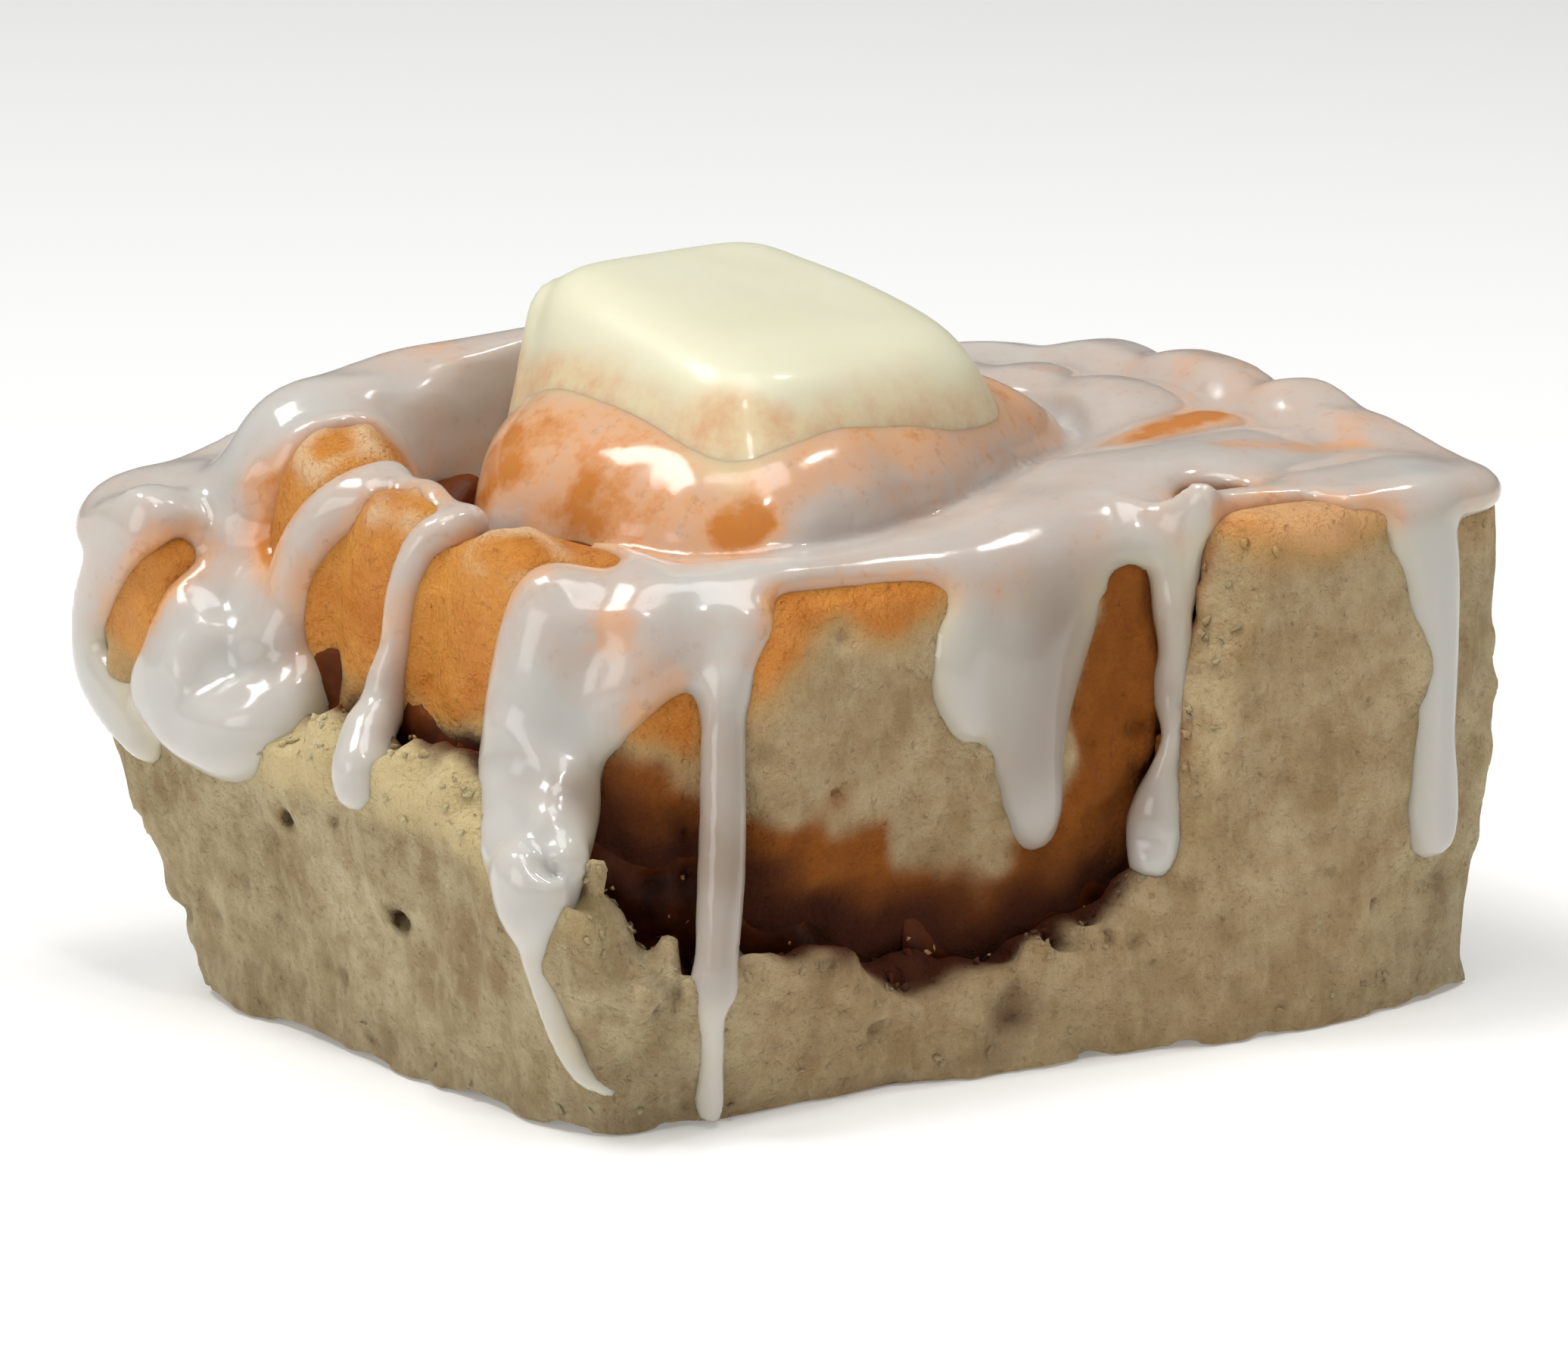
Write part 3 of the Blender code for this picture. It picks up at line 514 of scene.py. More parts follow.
# painted shade: darker inside the holes and inside the star-shaped hole
outer_pit_shade = np.maximum(hollows * (1.0 - outer_crust), ease(star_hole, -0.8, 0.2))
loose = np.maximum(1.0 - ease(rim[UP] - Z, 0.5, 3.5), 0.5 * (1.0 - ease(Z, 1.0, 5.0)))
loose = loose * (1.0 - outer_crust) * ease(outer_smooth, -1.5, -0.2) * ease(Z, 1.0, 1.6)
ledge = (1.0 - ease(rim[UP] - Z, 1.5, 4.5)) * left_side[UP]
right_crust = ease(share, 0.22, 0.24) * (1.0 - ease(share, 0.3, 0.34))
outer = mould("torn_outer_turn", outer_body, {
    "crust": outer_crust, "stain": outer_stain, "soak": soak, "pit": outer_pit_shade, "ledge": ledge,
    # browning below the crust, and painted shade darkening the front side
    "tan": np.maximum(ease(Z - outer_crust_edge, -7.0, 0.5), 0.3 * front_shade), "loose": loose,
    "flaky": 0.55 * np.broadcast_to(right_crust[UP], depth.shape),
}, dough_material)
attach(outer, "root")
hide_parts("dough")
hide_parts("dough")


# Loose crumb bits
# Soft crumbs that the tear left hanging along the skirt's rim and round its base, of many sizes.

def scatter(host, name, painted_by, per_square_mm, radius, seed, material):
    """Bits scattered over a piece where an attribute is painted on it, as a mesh of their own."""
    tree = bpy.data.node_groups.new(name, "GeometryNodeTree")
    for label, kind, way in (
        ("Host", "Geometry", "INPUT"), ("Bits per square metre", "Float", "INPUT"),
        ("Bit radius", "Float", "INPUT"), ("Bits", "Geometry", "OUTPUT"),
    ):
        tree.interface.new_socket(label, in_out=way, socket_type="NodeSocket" + kind)
    surface, per_square_metre, bit_radius = tree.nodes.new("NodeGroupInput").outputs[:3]
    painted = add(tree, "GeometryNodeInputNamedAttribute", {"data_type": "FLOAT"}, Name=painted_by)
    density = add(tree, "ShaderNodeMath", {"operation": "MULTIPLY"}, i0=painted, i1=per_square_metre)
    points = add(tree, "GeometryNodeDistributePointsOnFaces", Mesh=surface, Density=density, Seed=seed)
    bit = add(tree, "GeometryNodeMeshIcoSphere", Radius=1.0, Subdivisions=1)
    turn = add(tree, "FunctionNodeRandomValue", {"data_type": "FLOAT_VECTOR"}, i1=(2 * pi,) * 3, Seed=seed)
    squash = add(
        tree, "FunctionNodeRandomValue", {"data_type": "FLOAT_VECTOR"}, i0=(0.35, 0.3, 0.25),
        i1=(1.3, 1.0, 0.8), Seed=seed + 1,
    )
    scale = add(tree, "ShaderNodeVectorMath", {"operation": "SCALE"}, i0=squash, Scale=bit_radius)
    bits = add(tree, "GeometryNodeInstanceOnPoints", Points=points, Instance=bit, Rotation=turn, Scale=scale)
    real = add(tree, "GeometryNodeRealizeInstances", Geometry=bits)
    rough = add(tree, "ShaderNodeTexNoise", Scale=0.9 / radius, Detail=1.0).outputs["Color"]
    to_each_side = add(
        tree, "ShaderNodeVectorMath", {"operation": "SUBTRACT"}, i0=rough, i1=(0.5, 0.5, 0.5),
    )
    push = add(tree, "ShaderNodeVectorMath", {"operation": "SCALE"}, i0=to_each_side, Scale=2.0 * radius)
    dented = add(tree, "GeometryNodeSetPosition", Geometry=real, Offset=push)
    smooth = add(tree, "GeometryNodeSetShadeSmooth", Geometry=dented)
    finished = add(tree, "GeometryNodeSetMaterial", Geometry=smooth, Material=material)
    add(tree, "NodeGroupOutput", i0=finished)
    piece = bpy.data.objects.new(name, host.data)
    bpy.context.scene.collection.objects.link(piece)
    growth = piece.modifiers.new(name, "NODES")
    growth.node_group = tree
    for socket in tree.interface.items_tree:
        if socket.name == "Bits per square metre":
            growth[socket.identifier] = per_square_mm / METRES**2
        elif socket.name == "Bit radius":
            growth[socket.identifier] = radius
    bpy.context.view_layer.update()
    mesh = bpy.data.meshes.new_from_object(piece.evaluated_get(bpy.context.evaluated_depsgraph_get()))
    piece.modifiers.remove(growth)
    mesh.name = name
    piece.data = mesh
    return piece


crumbs = scatter(outer, "loose_crumbs", "loose", 0.18, 0.00045, 11, dough_material)
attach(crumbs, "root")


# The cinnamon filling
# Brown sugar, butter and cinnamon that melted between the turns and set to a dark, glossy goo. It
# shows in the grooves on top and underneath, and above the torn skirt.

coat = (0.32 + 0.06 * middling + 0.06 * small) * ease(goo_rim - Z, -0.3, 5.0) - 0.1
outer_sheet = np.maximum(outer_line[UP] + FILLING_HALF - coat - depth + crumb_relief,
                         depth - outer_line[UP] - FILLING_HALF - 0.7)
outer_sheet = soft_max(outer_sheet, Z - goo_rim, 0.6)
outer_sheet = np.maximum(outer_sheet, np.minimum(4.0 - Z, -ease(Z, 3.0, 5.0)))
goo_lumps = 0.14 * middling + 0.1 * small
inner_sheet = np.abs(depth - inner_line[UP]) - 1.1 - goo_lumps
inner_sheet = soft_max(inner_sheet, Z - GROOVE_HEIGHT - 0.6 - 0.8 * middling, 1.0)
sheets = np.minimum(outer_sheet, inner_sheet)
hidden = np.minimum(Z - 3.0, 33.0 - Z)
sheets = np.where((flat_depth > outer_line + 3.0)[UP], np.maximum(sheets, hidden), sheets)
sheets = np.maximum(sheets, 0.1 - Z)

# Cinnamon goo: melted sugar with ground spice in it, dark, sticky and shiny, with grit of about 0.8 mm.
filling_material, tree = new_material("cinnamon sugar goo")
place = add(tree, "ShaderNodeTexCoord").outputs["Object"]
deep_at = add(tree, "ShaderNodeAttribute", {"attribute_name": "deep"}).outputs["Fac"]
swirls, grit = [
    add(tree, "ShaderNodeTexNoise", Vector=place, Scale=1.0 / METRES / size, Detail=detail, Roughness=rough)
    for size, detail, rough in ((3.0, 5.0, 0.6), (0.8, 4.0, 0.5))
]
thin_syrup = painted_over(tree, "#4E2105", (swirls, 0.35, 0.7, 1.0, "#6E350B"))
thick_syrup = painted_over(tree, "#2E0F03", (swirls, 0.35, 0.7, 1.0, "#5A2507"))
syrup = painted_over(tree, thin_syrup, (deep_at, 0.0, 1.0, 1.0, thick_syrup))
grit_height = add(tree, "ShaderNodeBump", Height=grit, Strength=0.3, Distance=0.0004)
finish_surface(
    tree, Base_Color=syrup, Roughness=0.5, Normal=grit_height, IOR=1.42,
    Subsurface_Weight=0.2, Subsurface_Radius=(1.0, 0.35, 0.15), Subsurface_Scale=0.001,
    Specular_IOR_Level=0.2,
)

deep = ease(goo_rim - Z, 0.5, 3.5)
gritty = deep * ease(Z, 1.0, 1.6)
filling = mould("cinnamon_filling", sheets, {"deep": deep, "gritty": gritty}, filling_material, 150)
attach(filling, "root")
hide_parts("filling")

# Sugar that hasn't melted: clear amber crystals of about half a millimetre, stuck in the goo
sugar_material, tree = new_material("brown sugar crystals")
finish_surface(
    tree, Base_Color="#B98A55", Roughness=0.12, IOR=1.54,
    Subsurface_Weight=0.5, Subsurface_Radius=(1.0, 0.6, 0.3), Subsurface_Scale=0.0006,
)
crystals = scatter(filling, "sugar_crystals", "gritty", 0.16, 0.0003, 12, sugar_material)
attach(crystals, "root")


# The icing
# Sugar and milk poured over while the roll was warm, so that it melted: a milky glaze that is thin and
# clear over the crust, gathers in thick strands, and hangs down the torn sides in drips.

# The camera stands where the photograph was taken from, so that each strand can be laid where it is seen.
VIEW_AZIMUTH = radians(-36.0)
VIEW_ELEVATION = radians(14.0)
VIEW_DISTANCE = 450.0
VIEW_TARGET = np.array([0.42, 6.91, 23.43])
LENS = 135.0
SENSOR = 36.0
PHOTO_WIDTH = 2000.0
PHOTO_MIDDLE = (1000.0, 859.5)
to_camera = np.array([
    sin(VIEW_AZIMUTH) * cos(VIEW_ELEVATION), -cos(VIEW_AZIMUTH) * cos(VIEW_ELEVATION), sin(VIEW_ELEVATION),
])
rightwards = np.array([cos(VIEW_AZIMUTH), sin(VIEW_AZIMUTH), 0.0])
upwards = np.cross(to_camera, rightwards)

# The surface that the icing lies on: the dough with its torn ledges eased over
carrier = soft_min(inner_smooth, outer_smooth, 5.0)
steepness = np.gradient(carrier, VOXEL)
steepness = np.sqrt(steepness[0] ** 2 + steepness[1] ** 2 + steepness[2] ** 2)
carrier = carrier / np.clip(steepness, 0.45, 2.0)


def ray_through(across_photo, down_photo):
    """The way from the camera through a place in the photograph, 2000 wide."""
    ray = -to_camera * PHOTO_WIDTH * LENS / SENSOR
    return ray + rightwards * (across_photo - PHOTO_MIDDLE[0]) + upwards * (PHOTO_MIDDLE[1] - down_photo)


RAY_STEP = 0.2
NEAREST_SEEN = 380.0
FARTHEST_SEEN = 520.0


def seen_at(across_photo, down_photo, lift=0.0):
    """The place on the dough, or this far above it, that the photograph shows here."""
    ray = ray_through(across_photo, down_photo)
    ray /= np.linalg.norm(ray)
    steps = np.arange(NEAREST_SEEN, FARTHEST_SEEN, RAY_STEP)
    places = VIEW_TARGET + to_camera * VIEW_DISTANCE + ray * steps[:, None]
    within = np.all((places > LOW) & (places < HIGH - VOXEL), axis=1)
    places = places[within]
    heights = read_field(carrier, places) - lift
    touching = np.nonzero(heights < 0.0)[0]
    return places[touching[0]] if len(touching) else places[np.argmin(heights)]


def around(turn, height):
    """The place on the dough's wall at this turn and height."""
    column = np.argmin(np.abs(share - turn % 1.0) + 0.02 * np.abs(flat_depth - 8.0))
    i, j = np.unravel_index(column, share.shape)
    outward = np.array([lines[0][i], lines[1][j]]) - np.array(CORE_SHIFT)
    outward /= np.linalg.norm(outward)
    reaches = np.arange(0.0, 70.0, RAY_STEP)[:, None]
    places = np.column_stack([np.array(CORE_SHIFT) + outward * reaches, np.full(len(reaches), height)])
    places = places[np.all((places > LOW) & (places < HIGH - VOXEL), axis=1)]
    heights = read_field(carrier, places)
    return places[np.nonzero(heights < 0.0)[0][-1]]


BARE = -2.0
icing_depth = np.full(carrier.shape, BARE, dtype=np.float32)
carrier_slopes = np.gradient(carrier, VOXEL)


def onto_dough(places):
    """Moves places near the dough onto its surface."""
    for _ in range(3):
        slopes = np.column_stack([read_field(slope, places) for slope in carrier_slopes])
        steep = np.maximum(0.3, (slopes**2).sum(axis=1))
        places = places - slopes * np.clip(read_field(carrier, places) / steep, -0.5, 0.5)[:, None]
    return places


STRAND_STEP = 0.5


def lay_strand(places, fullness, blend=0.7):
    """Lays a strand of icing through places on the dough, each with a half width and a thickness."""
    knots = np.array(places)
    steps = []
    for i in range(len(knots) - 1):
        start, end = knots[i], knots[i + 1]
        before, after = knots[max(0, i - 1)], knots[min(len(knots) - 1, i + 2)]
        bend = 2.0 * before - 5.0 * start + 4.0 * end - after
        swing = 3.0 * start - before - 3.0 * end + after
        count = max(2, int(np.linalg.norm(end[:3] - start[:3]) / STRAND_STEP))
        for t in np.arange(count) / count:
            steps.append(0.5 * (2.0 * start + (end - before) * t + bend * t**2 + swing * t**3))
    steps.append(knots[-1])
    steps = np.array(steps)
    steps[:, :3] = onto_dough(steps[:, :3])
    widest = steps[:, 3].max() + 3.0
    low = np.clip(((steps[:, :3].min(0) - widest - LOW) / VOXEL).astype(int), 0, None)
    high = ((steps[:, :3].max(0) + widest - LOW) / VOXEL).astype(int) + 1
    window = tuple(slice(a, b) for a, b in zip(low, high))
    x, y, z = X[low[0]:high[0]], Y[:, low[1]:high[1]], Z[:, :, low[2]:high[2]]
    above = carrier[window]
    strand = np.full(above.shape, BARE, dtype=np.float32)
    for px, py, pz, half_width, thickness in steps:
        away = (x - px) ** 2 + (y - py) ** 2 + (z - pz) ** 2 - above**2
        bulge = np.minimum(1.0, 1.0 - away / half_width**2)
        strand = np.maximum(strand, np.where(bulge > 0.0, np.abs(bulge) ** fullness, 2.5 * bulge) * thickness)
    icing_depth[window] = soft_max(icing_depth[window], np.maximum(strand, BARE), blend)


def strand_seen(*places, fullness=0.7, blend=0.9):
    """A strand through places in the photograph, each with a half width and a thickness."""
    lay_strand([(*seen_at(*place[:2]), *place[2:]) for place in places], fullness, blend)


def hanging_strand(*places):
    """A field of distances from a strand that hangs free between places in the photograph."""
    ends = [seen_at(*places[0][:2]), seen_at(*places[-1][:2])]
    eye = VIEW_TARGET + to_camera * VIEW_DISTANCE
    depths = [float(np.dot(eye - end, to_camera)) for end in ends]
    knots = []
    for i, (across_photo, down_photo, half_width) in enumerate(places):
        ray = ray_through(across_photo, down_photo)
        away = depths[0] + (depths[1] - depths[0]) * i / (len(places) - 1)
        knots.append([*(eye + ray * away * SENSOR / (PHOTO_WIDTH * LENS)), half_width])
    knots = np.array(knots)
    strand = np.full(carrier.shape, 9.0, dtype=np.float32)
    stations = np.arange(len(knots))
    for at in np.linspace(0.0, len(knots) - 1.0, 12 * len(knots)):
        x, y, z, half_width = [np.float32(np.interp(at, stations, knots[:, column])) for column in range(4)]
        near = (np.abs(X[:, 0, 0] - x) < 5.0, np.abs(Y[0, :, 0] - y) < 5.0, np.abs(Z[0, 0, :] - z) < 5.0)
        window = tuple(slice(np.argmax(inside), len(inside) - np.argmax(inside[::-1])) for inside in near)
        away = (X[window[0]] - x) ** 2 + (Y[:, window[1]] - y) ** 2 + (Z[:, :, window[2]] - z) ** 2
        strand[window] = np.minimum(strand[window], np.sqrt(away) - half_width)
    return strand


def spots_seen(places, radius, lift=0.0):
    """A field that is 1 along a line through places in the photograph and fades out at this radius."""
    knots = np.array([seen_at(*place, lift) for place in places])
    count = max(1, int(2.0 * np.linalg.norm(knots[-1] - knots[0]) / radius))
    stations = np.linspace(0.0, 1.0, len(knots))
    nearest = np.full(carrier.shape, 9.0, dtype=np.float32)
    for at in np.linspace(0.0, 1.0, count + 1):
        x, y, z = [np.float32(np.interp(at, stations, knots[:, axis])) for axis in range(3)]
        nearest = np.minimum(nearest, ((X - x) ** 2 + (Y - y) ** 2 + (Z - z) ** 2) / radius**2)
    return np.exp(-nearest)


# A drip from its top to its tip: how far up, and its half width and thickness as shares
DRIP_ROWS = [
    (1.0, 1.5, 0.5), (0.85, 1.1, 0.7), (0.6, 0.85, 0.8), (0.3, 0.8, 0.9), (0.1, 1.05, 1.15),
    (0.0, 0.95, 1.0),
]
DRIP_THICKNESS = 1.6


def drip_round(turn, half_width, tip):
    """A drip down a side that the photograph doesn't show, from the ring's edge to its tip."""
    top = float(read_knots(CREST_HEIGHT, turn)) - 3.0
    lay_strand([
        (
            *around(turn + 0.002 * sin(9.0 * up), tip + (top - tip) * up),
            half_width * wide, DRIP_THICKNESS * thick,
        )
        for up, wide, thick in DRIP_ROWS
    ], 0.7)


# The glaze over the top, which thins out at the shoulder, lies as a film over the dome, and fills the
# groove at the front
HEM = [
    (0.0, 36.4), (0.02, 37.6), (0.05, 37.2), (0.08, 37.4), (0.12, 37.0), (0.2, 37.8), (0.235, 38.2),
    (0.26, 39.0), (0.29, 37.0), (0.386, 38.5), (0.5, 37.0), (0.6, 41.0), (0.7, 43.0), (0.76, 38.0),
    (0.79, 33.0), (0.815, 33.0), (0.83, 45.5), (0.85, 44.6), (0.875, 43.4), (0.94, 42.4), (0.985, 38.0),
    (1.0, 36.4),
]
POOL_BOTTOM = 34.0
POOL_LEVEL = [
    (0.0, 38.9), (0.06, 39.0), (0.15, 39.2), (0.22, 39.8), (0.3, 40.3), (0.42, 41.0), (0.5, 37.0),
    (0.94, 37.0), (0.975, 38.7), (1.0, 38.9),
]
on_dome = ease(flat_depth - dome_line, -0.6, 0.8)[UP]
off_edge = ease(across, 0.3, 0.45)[UP]
hem = read_knots(HEM, share)[UP]
hem = np.where(left_side[UP] > 0.5, hem, hem * (1.0 - off_edge) + 34.0 * off_edge)
hem = hem * (1.0 - on_dome) + 36.0 * on_dome + 0.6 * broad
glaze = (0.9 + 0.12 * broad) * (1.0 - on_dome) + (0.32 + 0.06 * broad + 0.05 * middling) * on_dome
glaze = glaze * ease(Z - hem, -0.5, 2.2) + BARE * (1.0 - ease(Z - hem, -1.2, 0.3))
icing_depth = np.maximum(icing_depth, glaze.astype(np.float32))
pool_side = 1.4 * (3.2 - np.abs(flat_depth - dome_line)[UP])
pool = np.minimum(carrier - Z + read_knots(POOL_LEVEL, share)[UP], pool_side)
pool = np.where(Z > POOL_BOTTOM, np.minimum(pool, 3.0), BARE)
icing_depth = np.maximum(icing_depth, pool).astype(np.float32)

# The left: the outermost strand, the great blob, and three bands that curl down between the lobes
strand_seen(
    (330, 560, 3.0, 0.8), (242, 653, 2.6, 1.0), (186, 669, 2.6, 1.2), (137, 718, 2.6, 1.4),
    (116, 783, 2.5, 1.5), (118, 840, 2.5, 1.6), (145, 897, 2.6, 1.5), (180, 946, 1.9, 1.2), fullness=0.9,
)
strand_seen(
    (300, 740, 3.4, 0.9), (270, 800, 4.8, 1.5), (262, 860, 5.6, 2.0), (280, 915, 5.0, 2.2),
    (290, 950, 2.8, 1.8), blend=2.5,
)
strand_seen(
    (200, 880, 3.0, 1.3), (240, 920, 3.2, 1.7), (300, 935, 3.2, 1.9), (350, 905, 3.0, 1.7),
    (368, 870, 2.4, 1.2), blend=2.5,
)
strand_seen(
    (640, 470, 2.6, 0.6), (560, 512, 2.4, 0.9), (462, 506, 2.6, 1.1), (389, 539, 2.8, 1.2),
    (332, 596, 3.2, 1.1), (308, 661, 3.4, 1.0), (312, 718, 3.4, 1.1), (325, 790, 3.6, 1.4),
    (320, 850, 3.8, 1.8), fullness=1.1,
)
strand_seen(
    (558, 634, 1.6, 0.8), (511, 614, 1.8, 1.2), (454, 630, 2.2, 1.2), (405, 669, 2.4, 1.1),
    (373, 718, 2.5, 1.1), (356, 775, 2.8, 1.2), (350, 840, 3.0, 1.5), fullness=0.9,
)
strand_seen(
    (633, 674, 1.8, 1.0), (584, 668, 1.8, 1.3), (537, 695, 1.7, 1.2), (512, 758, 1.6, 1.1),
    (503, 824, 1.5, 1.2), (487, 881, 1.7, 1.5), (466, 938, 2.2, 2.0), (459, 985, 2.5, 2.3),
    (458, 1005, 2.1, 1.9), fullness=0.8,
)

# The front left corner: the broad drape and its long drip, whose thin tail runs to the base
strand_seen(
    (720, 770, 3.8, 1.0), (800, 790, 4.4, 1.1), (880, 790, 4.0, 1.0), (945, 775, 2.6, 0.9), fullness=1.0,
)
strand_seen(
    (700, 790, 3.8, 1.2), (690, 870, 4.4, 1.6), (690, 950, 4.6, 1.9), (684, 1030, 4.4, 2.1),
    (678, 1095, 4.1, 2.2), (676, 1135, 3.4, 2.2), (680, 1165, 2.4, 1.8),
)
strand_seen((860, 820, 3.2, 1.1), (800, 870, 3.2, 1.3), (745, 920, 3.2, 1.5), fullness=0.9)
strand_seen(
    (678, 1130, 3.0, 1.8), (677, 1180, 2.0, 1.4), (690, 1250, 1.5, 0.9), (715, 1330, 1.2, 0.7),
    (745, 1375, 1.1, 0.6), (785, 1393, 0.8, 0.5), blend=2.0,
)

# The front: the straight drip to the base, the edge of the glaze, the broad sheet and the beaded drip
strand_seen((935, 800, 3.0, 0.9), (926, 850, 2.2, 1.2), (924, 890, 1.8, 1.2))
strand_seen(
    (916, 1225, 2.0, 1.5), (912, 1270, 1.5, 1.3), (908, 1350, 1.2, 1.1), (905, 1405, 1.3, 1.4),
    (905, 1430, 1.1, 1.2),
)
strand_seen(
    (960, 742, 1.8, 0.6), (1100, 742, 1.8, 0.5), (1250, 725, 2.0, 0.7), (1400, 695, 2.2, 0.8),
    (1520, 660, 2.2, 0.8), fullness=1.2,
)
strand_seen(
    (1235, 780, 2.6, 0.8), (1226, 850, 2.5, 1.1), (1228, 895, 2.1, 1.3), (1240, 925, 1.6, 1.1),
    fullness=0.8,
)
strand_seen(
    (1340, 740, 5.5, 0.8), (1325, 800, 5.6, 1.1), (1315, 860, 5.2, 1.4), (1312, 920, 4.2, 1.6),
    (1314, 975, 3.3, 1.8), (1316, 1025, 2.8, 2.2), (1316, 1052, 2.3, 2.0), fullness=0.8,
)
strand_seen(
    (1500, 700, 2.2, 0.7), (1497, 760, 1.7, 0.8), (1498, 830, 1.4, 0.9), (1492, 885, 1.6, 1.1),
    (1496, 940, 1.1, 1.0), (1482, 1000, 1.7, 1.4), (1472, 1055, 2.4, 2.2), (1470, 1092, 2.1, 2.2),
    fullness=0.8,
)
strand_seen(
    (1800, 610, 4.2, 0.9), (1818, 660, 3.6, 1.1), (1826, 720, 3.0, 1.3), (1830, 790, 2.6, 1.5),
    (1830, 860, 2.3, 1.5), (1828, 930, 2.2, 1.6), (1826, 990, 2.4, 1.9), (1824, 1040, 2.5, 2.2),
    (1824, 1062, 2.2, 1.9),
)
strand_seen((1700, 640, 1.2, 0.4), (1750, 632, 2.2, 0.7), (1800, 622, 3.0, 0.8), fullness=1.0)

# A fold of glaze that slid down the dome on the right of the pat
strand_seen(
    (1258, 491, 1.6, 0.5), (1320, 530, 2.0, 0.8), (1380, 565, 1.6, 0.6), (1406, 582, 1.0, 0.4),
    fullness=1.0,
)

# Where the crust is bare or shines through
BARE_PLACES = [([(236, 702), (190, 736), (158, 790)], 1.2), ([(1585, 655), (1680, 655)], 2.2),
               ([(1015, 770), (1185, 765)], 1.3)]
for places, radius in BARE_PLACES:
    icing_depth = icing_depth - 3.2 * np.maximum(0.0, spots_seen(places, radius) - 0.2).astype(np.float32)
icing_depth = np.maximum(icing_depth, BARE)

# The right end and the back, which the photograph doesn't show: drips of the same kind
HIDDEN_DRIPS = [
    (0.35, 2.6, 22.0), (0.42, 3.2, 15.5), (0.535, 2.8, 19.5), (0.605, 3.4, 25.0), (0.68, 2.4, 12.5),
]
for drip in HIDDEN_DRIPS:
    drip_round(*drip)

icing_body = carrier - icing_depth
icing_body = np.maximum(icing_body, -1.3 - carrier)
straight_drip = hanging_strand(
    (925, 880, 1.6), (922, 960, 1.7), (922, 1040, 1.75), (920, 1120, 1.8), (916, 1190, 1.7), (914, 1240, 1.5),
)
icing_body = soft_min(icing_body, straight_drip, 1.5)
icing_body = np.maximum(icing_body, 0.2 - Z)


def soften(field, times):
    """Evens a field out over its nearest neighbours, this many times."""
    for _ in range(times):
        for axis in range(3):
            field = (np.roll(field, 1, axis) + 2.0 * field + np.roll(field, -1, axis)) / 4.0
    return field


icing_body = soften(icing_body, 2)

# How milky the icing looks: its thickness, evened out, and less where the photograph shows the crust glow
thickness_seen = np.clip(icing_depth, 0.0, 2.0)
milk = soften(thickness_seen, 8) - 0.12 * on_dome
milk = np.where(np.maximum(crust, outer_crust) > 0.3, milk, 0.5 * milk + 0.5 * thickness_seen)
ICING_OVER_CRUST = 0.8
GLOWING_PLACES = [
    ([(755, 635), (770, 660)], 1.7, 0.5), ([(935, 680), (965, 655)], 1.7, 0.6),
    ([(648, 560), (640, 600)], 1.6, 0.45), ([(330, 620), (345, 720)], 3.2, 0.55),
    ([(505, 465), (560, 450)], 2.8, 0.3), ([(790, 800), (820, 850)], 3.6, 0.55),
    ([(1000, 765), (1190, 762)], 1.6, 0.6), ([(1440, 565), (1540, 525)], 2.6, 0.9),
    ([(1560, 572), (1720, 568)], 1.6, 0.6), ([(700, 830), (730, 900)], 2.0, 0.3),
    ([(240, 690), (160, 800)], 2.2, 0.5), ([(1600, 690), (1760, 670)], 1.8, 0.4),
]
for places, radius, amount in GLOWING_PLACES:
    milk = milk - amount * spots_seen(places, radius, ICING_OVER_CRUST)
milk = np.maximum(np.maximum(milk, 0.0), 1.2 * (straight_drip < 0.8))

# Sugar icing, melted: wet and glossy. Where it is thick it is milky, where it is thin the crust glows
# through it pink and orange, mottled in patches of about 4 mm, with specks of spice about 1.2 mm apart.
icing_material, tree = new_material("melted sugar icing")
place = add(tree, "ShaderNodeTexCoord").outputs["Object"]
milk_at, on_crust, buttered_at, over_goo_and_drip_shade = [
    add(tree, "ShaderNodeAttribute", {"attribute_name": label}).outputs["Fac"]
    for label in ("milk", "under", "buttered", "goo")
]
veil, spice, ripples = [
    add(tree, "ShaderNodeTexNoise", Vector=place, Scale=1.0 / METRES / size, Detail=detail, Roughness=rough)
    for size, detail, rough in ((4.0, 5.0, 0.65), (1.2, 4.0, 0.7), (4.0, 2.0, 0.5))
]
veiled = add(tree, "ShaderNodeMapRange", Value=veil, i1=0.3, i2=0.7, i3=-0.22, i4=0.22)
milk_seen = add(tree, "ShaderNodeMath", {"operation": "ADD"}, i0=milk_at, i1=veiled)
over_crust = painted_over(
    tree, "#D07E34", (veil, 0.0, 1.0, 1.0, "#D2924F"), (milk_seen, 0.02, 0.25, 1.0, "#E3AE82"),
    (milk_seen, 0.2, 0.75, 1.0, "#CFB8A8"), (spice, 0.56, 0.7, 0.35, "#B07A4E"),
)
over_crumb = painted_over(tree, "#D6C9A8", (milk_seen, 0.0, 0.6, 1.0, "#CCC5B6"))
iced = painted_over(
    tree, over_crumb, (on_crust, 0.0, 1.0, 1.0, over_crust), (milk_seen, 0.5, 1.3, 1.0, "#CBC7C0"),
    # darker brown where goo lies under the icing, and painted shade on the lower straight drip
    (over_goo_and_drip_shade, 0.0, 1.0, 1.0, "#97806C"), (buttered_at, 0.0, 1.0, 1.0, "#E0CFA6"),
)
ripple_height = add(tree, "ShaderNodeBump", Height=ripples, Strength=0.12, Distance=0.001)
